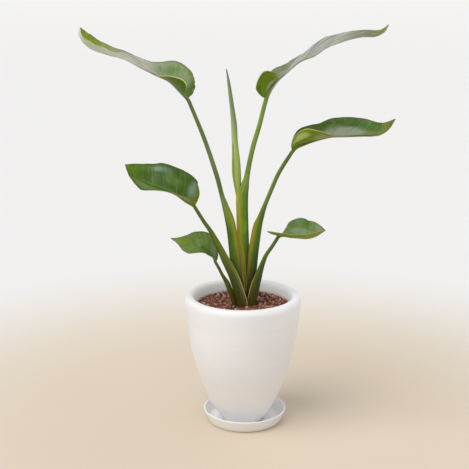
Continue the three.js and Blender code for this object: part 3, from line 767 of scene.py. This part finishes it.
def stalk_finish(name, look):
    skin = Finish(name + "_stalk_skin", specular=0.22, coat=0.12, coat_roughness=0.3)
    high_a, high_b, low_a, low_b, young_tone, edge_tone, outer_and_shade_tone, keel_tone = look["stalk"]
    edge_from, rim_from = look["sheath_edge"], look["rim_from"]
    inner, sheath, keel = skin.stored("stalk")
    behind, present, _ = skin.stored("seam")
    _, fibres, height = stem_values(skin, 4.5, 4.5, 5)
    clouded = skin.noise(16, 3).band(0.35, 0.65)
    high = skin.paint(high_a, (high_b, clouded))
    low = skin.paint(low_a, (low_b, clouded))
    young = inner.band(-0.1, 0.6) * sheath * height.band(0.28, 0.4)
    edge = (inner + fibres * 0.3 - 0.15).band(edge_from, edge_from + 0.38) * sheath
    brown = skin.paint("3a4210", ("705212", fibres.band(0.4, 0.62)))
    rim = inner.band(rim_from, rim_from + 0.06) * sheath * fibres.band(0.3, 0.45)
    flap = present * behind.band(-0.01, 0.01)
    colour = skin.paint(
        high,
        (low, height.band(0.54, 0.42)),
        # The outer side is darker, partly in its own colour and partly as painted shade.
        (outer_and_shade_tone, inner.band(-0.45, -1.0) * 0.75),
        ("a9b86c", fibres.band(0.54, 0.7) * 0.4),
        (outer_and_shade_tone, fibres.band(0.48, 0.32) * 0.5),
        (young_tone, young * 0.8),
        (edge_tone, edge * 0.85),
        # Painted shade on the low part of the sheaths, where they crowd together near the soil.
        (outer_and_shade_tone, height.band(0.43, 0.3) * inner.band(0.75, 0.1) * 0.85),
        (brown, height.band(0.36, 0.27) * 0.7),
        # More painted shade near the soil, as strong as the leaf's foot.
        ("242a00", height.band(0.4, 0.31) * look["foot"]),
        ("c6a674", rim * height.band(0.37, 0.32)),
        (young_tone, flap * behind.band(0.95, 0.5) * 0.8),
        (edge_tone, flap * behind.band(0.13, 0.04) * 0.6),
        (keel_tone, keel * 0.8),
    )
    return skin.wear(colour, fibres * 0.25 + 0.3, fibres, LEAF_RELIEF, 0.5)


def spear_finish():
    skin = Finish("spear_skin", specular=0.25, coat=0.12, coat_roughness=0.3)
    lobe, lobe_present, _ = skin.stored("lobe")
    wrap, wrap_present, _ = skin.stored("wrap")
    cos_angle, fibres, height = stem_values(skin, 6, 6, 9)
    in_lobe = lobe_present * lobe.band(-0.01, 0.01)
    wrap_line = wrap_present * wrap.band(-0.01, 0.01) * wrap.band(0.16, 0.04)
    colour = skin.paint(
        "9fb452",
        ("74895a", height.band(0.58, 0.68)),
        ("93a63a", height.band(0.60, 0.52)),
        # A painted highlight down the spear's left side, fading out towards its tip.
        ("b9c795", cos_angle.band(0.25, -0.4) * height.band(0.76, 0.58) * 0.6),
        ("c9d2b4", fibres.band(0.54, 0.74) * 0.4),
        ("4a6420", fibres.band(0.46, 0.3) * 0.5),
        # A darker strip down the right side, partly its own colour and partly painted shade.
        ("3f5620", cos_angle.band(0.7, 1.0) * 0.55),
        ("8c9a10", in_lobe * lobe.band(0.9, 0.6)),
        ("4c5f14", in_lobe * lobe.band(0.12, 0.02) * 0.6),
        ("46552c", wrap_line * 0.8),
        ("a2a632", height.band(0.54, 0.5) * 0.8),
        ("5d5236", height.band(0.755, 0.766)),
    )
    return skin.wear(colour, fibres * 0.2 + 0.32, fibres, 0.0005, 0.6)


def pot_finish():
    skin = Finish("pot_glaze_skin", coat=0.1, coat_roughness=0.4)
    x, y, height = skin.split(skin.place)
    throwing_lines = skin.streaks((x, y, height), (7, 7, 150), 4, 0.65)
    speck = skin.noise(900, 2, 0.6)
    cloud = skin.noise(9, 3)
    radius = skin.length(x - POT_AXIS_X * MM, y)
    colour = skin.paint(
        "e9e8e9",
        ("eeedee", cloud.band(0.3, 0.7)),
        ("e4e2e2", throwing_lines.band(0.5, 0.7) * 0.3),
        # Painted light on the inner wall below the rim, which is made whiter than the glaze.
        ("fdfdfd", radius.band(0.113, 0.105) * height.band(0.15, 0.2)),
        ("d2cdc7", speck.band(0.68, 0.78) * 0.25),
    )
    return skin.wear(colour, cloud * 0.1 + 0.4, throwing_lines * 0.8 + speck * 0.12, GLAZE_RELIEF, 0.14)


def saucer_finish():
    skin = Finish("saucer_glaze_skin", coat=0.15, coat_roughness=0.3)
    x, y, height = skin.split(skin.place)
    throwing_lines = skin.streaks((x, y, height), (7, 7, 220), 4, 0.65)
    flared = skin.length(x, y) - height * 0.43
    colour = skin.paint(
        "e8e6e4",
        ("eeedeb", throwing_lines.band(0.3, 0.7)),
        # Painted light on the saucer's inside, which is made whiter than the glaze.
        ("fcfdfd", flared.band(0.078, 0.0772)),
    )
    return skin.wear(colour, throwing_lines * 0.08 + 0.32, throwing_lines, GLAZE_RELIEF, 0.12)


def mix_finish():
    skin = Finish("potting_mix_skin", roughness=0.95)
    crumbs = skin.noise(240, 5, 0.7)
    colour = skin.paint("1d1510", ("4a382b", crumbs.band(0.35, 0.7)))
    return skin.wear(colour, relief=crumbs, depth=0.002)


def grain_finish():
    skin = Finish("clay_grain_skin", roughness=0.85)
    tone = skin.node("Attribute", {}, "Fac", attribute_name="tone")
    pores = skin.noise(700, 4, 0.65)
    colour = skin.paint(
        skin.ramp(tone, GRAIN_TONES),
        ("2d1812", pores.band(0.48, 0.3) * 0.55),
        ("d8b9a8", pores.band(0.58, 0.76) * 0.4),
    )
    return skin.wear(colour, relief=pores, depth=0.0009, strength=0.8)


def floor_finish():
    """Warm and pale round the plant, and evenly bright far behind it."""
    skin = Finish("floor_skin", roughness=0.8, specular=0.3)
    x, y, _ = skin.split(skin.place)
    distance = skin.length(x, y)
    far = distance.band(5.0, 20.0)
    skin.put(skin.shader.inputs["Emission Color"], "eeedec")
    skin.put(skin.shader.inputs["Emission Strength"], far)
    skin.material.cycles.emission_sampling = "NONE"
    return skin.wear(skin.paint("d5c7b3", ("e4e3e3", distance.band(0.4, 1.3)), ("000000", far)))


# Pot and saucer

def smooth_profile(points, steps):
    """A finer profile, smooth through the given points."""
    return read_rows(points, np.linspace(0, 1, (len(points) - 1) * steps + 1))


def turned_piece(name, profile, axis_x, material):
    """A closed surface of revolution from a closed profile of [radius, height] in millimetres."""
    radius, height = np.asarray(profile, float).T[:, :, None]
    angles = turn_angles(TURNED_SEGMENTS)
    x = axis_x + radius * np.cos(angles)
    y = radius * np.sin(angles)
    points = grid_points(x, y, height)
    faces = grid_faces(len(profile), TURNED_SEGMENTS, closed=True)
    closing = ring_faces((len(profile) - 1) * TURNED_SEGMENTS, 0, TURNED_SEGMENTS)
    return make_piece(name, points * MM, np.vstack([faces, closing]), [material])


def edge_arc(corner_radius, corner_height, radius, start_deg, end_deg, count):
    angles = np.radians(np.linspace(start_deg, end_deg, count))
    return [[corner_radius + radius * math.cos(a), corner_height + radius * math.sin(a)] for a in angles]


def add_pot():
    outside = smooth_profile([*POT_OUTSIDE, *POT_RIM, *POT_INSIDE], POT_STEPS)
    outside[:, 0] = np.minimum(outside[:, 0], POT_RIM[0][0])
    points_in_foot_edge = 3
    profile = [
        [POT_DRAIN_RADIUS, POT_BASE_Z],
        *edge_arc(POT_FOOT_RADIUS, POT_BASE_Z + POT_FOOT_ROUND, POT_FOOT_ROUND, -90, -35, 5),
        *outside[points_in_foot_edge:],
        [POT_DRAIN_RADIUS + DRAIN_CHAMFER, POT_FLOOR_Z],
        [POT_DRAIN_RADIUS, POT_FLOOR_Z - DRAIN_CHAMFER],
    ]
    place_piece(turned_piece("pot_body", profile, POT_AXIS_X, pot_finish()), "pot_glaze", "pot")


def add_saucer():
    outside = smooth_profile(SAUCER_OUTSIDE, SAUCER_STEPS)
    inside = smooth_profile(SAUCER_INSIDE, SAUCER_STEPS)
    rim = smooth_profile([SAUCER_OUTSIDE[-1], *SAUCER_RIM, SAUCER_INSIDE[0]], SAUCER_STEPS)[1:-1]
    centre_radius = 0.5
    groove = edge_arc(SAUCER_GROOVE_RADIUS, SAUCER_GROOVE_ROUND, SAUCER_GROOVE_ROUND, 180, 0, 7)
    profile = [
        [centre_radius, 0],
        [SAUCER_GROOVE_RADIUS - SAUCER_GROOVE_HALF_WIDTH, 0],
        *groove,
        [SAUCER_GROOVE_RADIUS + SAUCER_GROOVE_HALF_WIDTH, 0],
        [SAUCER_FOOT_RADIUS, 0],
        SAUCER_FOOT_EDGE,
        *outside,
        *rim,
        *inside,
        [centre_radius, SAUCER_FLOOR_Z],
    ]
    place_piece(turned_piece("saucer_dish", profile, 0, saucer_finish()), "saucer_glaze", "saucer")


# Soil

def icosphere():
    """The points and triangles of a small round stone with 80 faces."""
    shape = bmesh.new()
    bmesh.ops.create_icosphere(shape, subdivisions=2, radius=1)
    shape.verts.index_update()
    points = np.array([corner.co for corner in shape.verts])
    faces = np.array([[corner.index for corner in face.verts] for face in shape.faces])
    shape.free()
    return points, faces


def random_turn(random):
    """A rotation matrix, even over all directions."""
    return np.array(Quaternion(random.normal(size=4)).normalized().to_matrix())


def in_a_stalk(x, y):
    """Whether a grain at this place would touch what stands in the soil."""
    for rows in [leaf["stalk"] for leaf in LEAVES.values()] + [SPEAR_ROWS]:
        foot_x, foot_y, _, half_width = rows[0]
        if math.hypot(x - foot_x, (y - foot_y) * STALK_SQUASH) < half_width + GRAIN_CLEARANCE:
            return True
    return False


def grain_places(random):
    """Seeded places of the clay grains in millimetres, in staggered rows and clear of the stalks."""
    places = []
    step_y = GRAIN_SPACING * math.sqrt(3) / 2
    count = int(LAYER_RADIUS / step_y) + 1
    reach = LAYER_RADIUS - GRAIN_HALF_WIDTH * 0.75
    for row in range(-count, count + 1):
        for column in range(-count - 3, count + 4):
            x = (column + 0.5 * (row % 2)) * GRAIN_SPACING + random.uniform(-GRAIN_SCATTER, GRAIN_SCATTER)
            y = row * step_y + random.uniform(-GRAIN_SCATTER, GRAIN_SCATTER)
            lift = random.uniform(*GRAIN_LIFTS)
            if math.hypot(x, y) <= reach and not in_a_stalk(x + POT_AXIS_X, y):
                places.append((x + POT_AXIS_X, y, LAYER_Z + lift))
    return places


def add_grains():
    random = np.random.default_rng(SEED)
    sphere, sphere_faces = icosphere()
    points, faces, tones = [], [], []
    for number, place in enumerate(grain_places(random)):
        turn = random_turn(random)
        half = GRAIN_HALF_WIDTH * random.uniform(0.62, 1.12)
        scale = half * np.array([1.0, random.uniform(0.65, 0.95), random.uniform(0.55, 0.8)])
        rough = 1 + 0.13 * random.standard_normal((len(sphere), 1))
        points.append((sphere * rough * scale) @ turn.T + np.array(place))
        faces.append(sphere_faces + number * len(sphere))
        tones.append(np.full(len(sphere), random.random()))
    piece = make_piece("clay_grains", np.vstack(points) * MM, np.vstack(faces), [grain_finish()],
                       attributes={"tone": np.concatenate(tones)}, smooth=False)
    place_piece(piece, "clay_pebbles", "clay_pebbles")


def add_soil_bed():
    """The uneven dark bed that the grains lie in, closed underneath."""
    random = np.random.default_rng(SEED + 1)
    rings, segments = 26, 120
    radii = np.linspace(0.6, LAYER_RADIUS, rings)[:, None]
    angles = turn_angles(segments)
    x = POT_AXIS_X + radii * np.cos(angles)
    y = radii * np.sin(angles)
    top = LAYER_Z + random.uniform(-BED_UNEVENNESS, BED_UNEVENNESS, size=x.shape)
    points = np.vstack([grid_points(x, y, top), grid_points(x, y, LAYER_Z - BED_DEPTH)])
    upper = grid_faces(rings, segments, closed=True)
    count = rings * segments
    lower = upper[:, ::-1] + count
    outer = count - segments
    wall = ring_faces(count + outer, outer, segments)
    core = ring_faces(0, count, segments)
    piece = make_piece("soil_bed", points * MM, np.vstack([upper, lower, wall, core]), [mix_finish()])
    place_piece(piece, "clay_pebbles", "clay_pebbles")


# Stalks

def oval_rings(centres, half_widths, half_depths, angles):
    """Rings of points round centres, square to their path. Their width lies in the plane of the fan."""
    tangents = unit(np.gradient(centres, axis=0))
    towards_y = np.array([0.0, 1.0, 0.0])
    depth = unit(towards_y - tangents * tangents[:, 1:2])
    width = unit(np.cross(depth, tangents))
    out = (half_widths * np.cos(angles))[..., None] * width[:, None, :]
    across = (half_depths * np.sin(angles))[..., None] * depth[:, None, :]
    return centres[:, None, :] + out + across


def closed_tube(rings):
    """Points and faces of a tube of rings, with a fan at each end."""
    count, sides, _ = rings.shape
    points = np.vstack([rings.reshape(-1, 3), rings[0].mean(0)[None], rings[-1].mean(0)[None]])
    faces = list(grid_faces(count, sides, closed=True))
    first, last = count * sides, count * sides + 1
    last_ring = first - sides
    for side in range(sides):
        after = (side + 1) % sides
        faces.append([after, side, first])
        faces.append([last_ring + side, last_ring + after, last])
    return points, faces


def tube_values(shape, *channels):
    """One vector for each point of a closed tube, its two end points included."""
    values = np.stack([np.broadcast_to(channel, shape) for channel in channels], -1).reshape(-1, 3)
    return np.vstack([values, values[[0, -1]]])


def add_stem(name, slot, node, skin, centres, half_widths, half_depths, angles, channels):
    """A closed tube of oval rings, with its grain and other channels stored for its material."""
    rings = oval_rings(centres, half_widths, half_depths, angles)
    grain = (np.cos(angles), np.sin(angles), lengths_along(centres)[:, None] * MM)
    channels = {**channels, "grain": grain}
    stored = {key: tube_values(rings.shape[:2], *values) for key, values in channels.items()}
    points, faces = closed_tube(rings)
    place_piece(make_piece(name, points * MM, faces, [skin], attributes=stored), slot, node)


def stalk_path(leaf, curve):
    """Centres, half widths and the share of keel, from under the soil to near the tip of the blade."""
    rows = leaf["stalk"]
    x, y, _, half_width = rows[0]
    foot = [x, y, STALK_START_Z, 0.9 * half_width]
    stalk = read_rows([foot, *rows], np.linspace(0, 1, STALK_STEPS))
    u = np.linspace(*KEEL_REACH, KEEL_STEPS)
    radius = RIB_END_RADIUS + (rows[-1][3] - RIB_END_RADIUS) * (1 - u) ** 3
    point, _, _, up = curve.frame(u * curve.length)
    drop = (0.5 + 0.35 * smooth_step(0, 0.15, u)) * radius * smooth_step(0, 30, u * curve.length)
    drop *= 1 - 0.7 * smooth_step(0.75, 0.95, u)
    centres = np.vstack([stalk[:, :3], point - up * drop[:, None]])
    half_widths = np.concatenate([stalk[:, 3], radius])
    keel = np.concatenate([np.zeros(STALK_STEPS), smooth_step(0, 0.15, u)])
    return centres, half_widths[:, None], keel[:, None]


def seam_values(seam, heights, angles):
    """How near each point is to a seam, how far it lies behind it, and where the seam is present.

    The seam is a list of [height, angle in degrees]. The flap lies on the side of the smaller angles. The
    nearness falls there from 1 beside the seam to 0 at SEAM_REACH_DEG, which is the unit of the distance.
    """
    path = np.array(seam, float)
    middle = np.interp(heights, path[:, 0], path[:, 1])
    behind = ((middle - np.degrees(angles) + 90) % 360 - 90) / SEAM_REACH_DEG
    near = np.where(behind < 0, 0, np.clip(1 - behind, 0, 1))
    low, high = path[0, 0], path[-1, 0]
    present = smooth_step(low - SEAM_FADE, low, heights) * smooth_step(high + SEAM_FADE, high, heights)
    return near * present, behind, present


def add_stalk(name, leaf, look, curve):
    """A stalk with its open sheath below and the midrib's keel above.

    inner is 1 on the side of the stalk that faces the middle of the plant, and -1 on the other side.
    """
    centres, half_widths, keel = stalk_path(leaf, curve)
    heights = centres[:, 2:]
    angles = turn_angles(STALK_SIDES)
    inner = -curve.heading * np.cos(angles)
    sheath = smooth_step(leaf["sheath_top"], leaf["sheath_top"] - SHEATH_FADE, heights) * (keel == 0)
    stalk_depths = np.minimum(STALK_DEPTH_SHARE * half_widths, SHEATH_HALF_DEPTH)
    half_depths = np.where(keel > 0, half_widths, stalk_depths)
    half_depths = half_depths * (1 - SHEATH_THINNING * sheath * smooth_step(-0.1, 1.0, inner) ** 1.4)
    flutes = 1 + FLUTE_DEPTH * np.cos(FLUTE_COUNT * angles) * (1 - keel)
    groove = 1 - STALK_GROOVE_DEPTH * (1 - sheath) * (1 - keel) * np.exp(-((1 - inner) / 0.1) ** 2)
    near = behind = present = 0.0
    if "seam" in leaf:
        near, behind, present = seam_values(leaf["seam"], heights, angles)
    radius = flutes * groove * (1 + SEAM_SWELL * near)
    half_widths = half_widths * (1 - KEEL_FLATNESS * keel)
    channels = {"stalk": (inner, sheath, keel), "seam": (behind, present, 0)}
    add_stem(name + "_stalk", "leaf", name, stalk_finish(name, look), centres, half_widths * radius,
             half_depths * radius, angles, channels)


# Blades

def half_blade(leaf, look, curve, values, fractions, place, phases):
    """One line of points along a blade, at one place from -1 at the near margin to 1 at the far one."""
    v = abs(place)
    near = place < 0
    ends, chord, fold = (values[:, 1:4] if near else values[:, 4:7]).T
    near_roll, far_roll, roll_end = look["rolls"]
    roll_share = smooth_step(roll_end, 0.35 * roll_end, values[:, 0] / curve.length)
    curl = np.radians(BLADE_CURL_DEG + (near_roll if near else far_roll) * roll_share)
    width = chord * (curl / 2) / np.sin(curl / 2)
    ragged = np.sin(values[:, 0] / RAGGED_LENGTHS[0] + phases[4] + place)
    ragged += np.sin(values[:, 0] / RAGGED_LENGTHS[1] + phases[5] - place)
    width += RAGGED_DEPTH * ragged * smooth_step(0.6, 1, v) * smooth_step(1, 0.9, fractions)
    if not near:
        for middle, depth in leaf.get("nicks", []):
            width -= depth * np.exp(-((fractions - middle) / NICK_LENGTH) ** 2) * smooth_step(0.8, 1, v)
    point, _, side, up = curve.frame(values[:, 0] + (ends - values[:, 0]) * v)
    start = np.radians(fold) - curl / 2
    stop = start + curl * v
    out = width * (np.sin(stop) - np.sin(start)) / curl * (1 if near else -1)
    rise = width * (np.cos(start) - np.cos(stop)) / curl
    vein = values[:, 0] - look["sweep"] * width * v
    return point + side * out[:, None] + up * rise[:, None], vein


def blade_surface(leaf, look, curve, random):
    """The middle surface of a blade as a grid of points, with the values that its materials read."""
    table = leaf["blade"]
    end = curve.length
    full = [*table, [end, end, TIP_HALF_WIDTH, table[-1][3], end, TIP_HALF_WIDTH, table[-1][6]]]
    fractions = np.linspace(0, 1, BLADE_ROWS)
    values = read_rows(full, fractions)
    across = np.linspace(-1, 1, 2 * HALF_STRIPS + 1)
    phases = random.uniform(0, 2 * math.pi, 6)
    strips = [half_blade(leaf, look, curve, values, fractions, place, phases) for place in across]
    grid = np.stack([points for points, _ in strips], 1)
    vein = np.stack([veins for _, veins in strips], 1)
    v = np.abs(across)
    side_phase = np.where(across < 0, phases[0], phases[1])
    fade = (smooth_step(0, 0.06, fractions) * smooth_step(1, 0.9, fractions))[:, None]
    along_vein = 2 * math.pi * vein / CORRUGATION_LENGTH + 0.8 * np.sin(vein / 17 + phases[2])
    corrugation = CORRUGATION_HEIGHT * np.sin(along_vein) * v**0.7 * (1 - v**6)
    turn = 2 * math.pi * values[:, 0:1]
    wave = v**3 * np.sin(turn / WAVE_LENGTH + side_phase)
    wave += 0.4 * v**2 * np.sin(turn / RIPPLE_LENGTH + phases[3] + side_phase)
    return grid, (corrugation + wave * look["wave"]) * fade, vein, across, values[:, 0:1] / end


def surface_normals(grid, upward):
    along = np.gradient(grid, axis=0)
    out = np.gradient(grid, axis=1)
    normals = unit(np.cross(along, out))
    middle = grid.shape[1] // 2
    if (normals[:, middle] * upward).sum() < 0:
        normals = -normals
    return normals


def rim_order(rows, columns):
    """Indices round the edge of a grid."""
    first = list(range(columns))
    right = [i * columns + columns - 1 for i in range(1, rows)]
    last = [(rows - 1) * columns + j for j in range(columns - 2, -1, -1)]
    left = [i * columns for i in range(rows - 2, 0, -1)]
    return np.array(first + right + last + left)


def blade_shell(leaf, look, curve, random):
    """Points, faces, face materials and stored values of a thin blade with a rounded margin."""
    grid, relief, vein, across, along = blade_surface(leaf, look, curve, random)
    _, _, _, up = curve.frame(np.linspace(0, curve.length, BLADE_ROWS))
    grid = grid + surface_normals(grid, up) * relief[..., None]
    normals = surface_normals(grid, up)
    rows, columns = grid.shape[:2]
    v = np.abs(across)[None, :, None]
    half = 0.5 * (BLADE_THICKNESS + (MARGIN_THICKNESS - BLADE_THICKNESS) * v**3)
    top = (grid + normals * half).reshape(-1, 3)
    bottom = (grid - normals * half).reshape(-1, 3)
    rim = rim_order(rows, columns)
    middle = grid.reshape(-1, 3)
    inner = np.clip(rim // columns, 1, rows - 2) * columns + np.clip(rim % columns, 1, columns - 2)
    edge = middle[rim] + MARGIN_ROUND * unit(middle[rim] - middle[inner])
    points = np.vstack([top, bottom, edge])
    count = rows * columns
    quads = grid_faces(rows, columns)
    k = np.arange(len(rim))
    after = (k + 1) % len(rim)
    upper_edge = np.stack([rim[after], rim, 2 * count + k, 2 * count + after], -1)
    lower_edge = np.stack([2 * count + after, 2 * count + k, count + rim, count + rim[after]], -1)
    faces = np.vstack([quads, quads[:, ::-1] + count, upper_edge, lower_edge])
    kinds = np.repeat([0, 1, 0, 1], [len(quads), len(quads), len(rim), len(rim)])
    stored = np.stack(np.broadcast_arrays(vein * MM, across, along), -1).reshape(-1, 3)
    stored = np.vstack([stored, stored, stored[rim]])
    a, b, c = (points[quads[:, n]] for n in (0, 1, 2))
    facing = (np.cross(b - a, c - a) * normals.reshape(-1, 3)[quads[:, 0]]).sum()
    if facing < 0:
        faces = faces[:, ::-1]
    return points, faces, kinds, stored


def add_leaf(name, random):
    leaf = LEAVES[name]
    look = {**COMMON_LOOK, **LEAF_LOOKS[name]}
    curve = RibCurve(leaf["rib"])
    points, faces, kinds, stored = blade_shell(leaf, look, curve, random)
    skins = [blade_upper_finish(name, look), blade_lower_finish(name, look)]
    place_piece(make_piece(name + "_blade", points * MM, faces, skins, kinds, {"leaf": stored}), "leaf", name)
    add_stalk(name, leaf, look, curve)


def add_spear():
    """The rolled leaf, with a slim lobe on its left and the edge of its outer turn crossing its front."""
    rows = read_rows(SPEAR_ROWS, np.linspace(SPEAR_START, 1, SPEAR_STEPS))
    centres, half_widths, heights = rows[:, :3], rows[:, 3:], rows[:, 2:3]
    angles = turn_angles(SPEAR_SIDES)
    lobe, lobe_behind, lobe_present = seam_values(SPEAR_LOBE_SEAM, heights, angles)
    wrap, wrap_behind, wrap_present = seam_values(SPEAR_WRAP_SEAM, heights, angles)
    radius = SPEAR_GIRTH * (1 - 0.1 * lobe + 0.08 * wrap)
    half_depths = np.minimum(half_widths, SPEAR_HALF_DEPTH)
    channels = {"lobe": (lobe_behind, lobe_present, 0), "wrap": (wrap_behind, wrap_present, 0)}
    add_stem("leaf_rolled_spear", "young_leaf", "leaf_rolled", spear_finish(), centres, half_widths * radius,
             half_depths * radius, angles, channels)


# Camera, floor and light

def add_camera():
    camera = bpy.data.objects.new("camera", bpy.data.cameras.new("camera"))
    camera.data.sensor_width = SENSOR_WIDTH
    camera.data.lens = SENSOR_WIDTH * CAMERA_FOCAL_PIXELS / FRAME_PIXELS
    camera.location = CAMERA_PLACE
    camera.rotation_euler = (math.radians(90 - CAMERA_PITCH_DEG), 0, 0)
    bpy.context.scene.collection.objects.link(camera)
    bpy.context.scene.camera = camera


def add_floor():
    """A round floor that curves up far behind the plant, so that no horizon shows."""
    segments = 96
    turn = np.linspace(0, math.pi / 2, 24)
    radii = np.concatenate([[0.5], FLOOR_RADIUS + COVE_WIDTH * np.sin(turn)])[:, None]
    heights = np.concatenate([[0], COVE_HEIGHT * (1 - np.cos(turn))])[:, None] - FLOOR_DROP
    angles = turn_angles(segments)
    points = grid_points(radii * np.cos(angles), radii * np.sin(angles), heights)
    faces = [*grid_faces(len(radii), segments, closed=True)[:, ::-1], list(range(segments))]
    make_piece("floor", points, faces, [floor_finish()])


def add_sun(name, direction, strength, angle_deg, colour):
    """A soft light from far away. direction points from the plant to the light."""
    light = bpy.data.lights.new(name, "SUN")
    light.energy = strength
    light.angle = math.radians(angle_deg)
    light.color = colour
    lamp = bpy.data.objects.new(name, light)
    lamp.rotation_euler = Vector(direction).to_track_quat("Z", "Y").to_euler()
    bpy.context.scene.collection.objects.link(lamp)


def add_light():
    world = bpy.data.worlds.new("studio")
    bpy.context.scene.world = world
    world.use_nodes = True
    background = world.node_tree.nodes["Background"]
    background.inputs["Color"].default_value = (0.985, 0.99, 1.0, 1)
    background.inputs["Strength"].default_value = WORLD_STRENGTH
    add_sun("key", (-0.5, -0.42, 1.0), 1.95, 50, (1.0, 0.99, 0.97))
    add_sun("fill", (0.9, -0.1, 0.9), 0.32, 60, (0.97, 0.985, 1.0))
    add_sun("back", (0.6, 0.75, 0.85), 0.32, 60, (0.97, 0.985, 1.0))
    bpy.context.scene.view_settings.view_transform = "Standard"


def build():
    add_camera()
    add_floor()
    add_light()
    add_saucer()
    add_pot()
    add_grains()
    add_soil_bed()
    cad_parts["potting_mix"].data.materials.clear()
    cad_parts["potting_mix"].data.materials.append(mix_finish())
    for number, name in enumerate(LEAVES):
        add_leaf(name, np.random.default_rng(SEED + 10 + number))
    add_spear()


build()
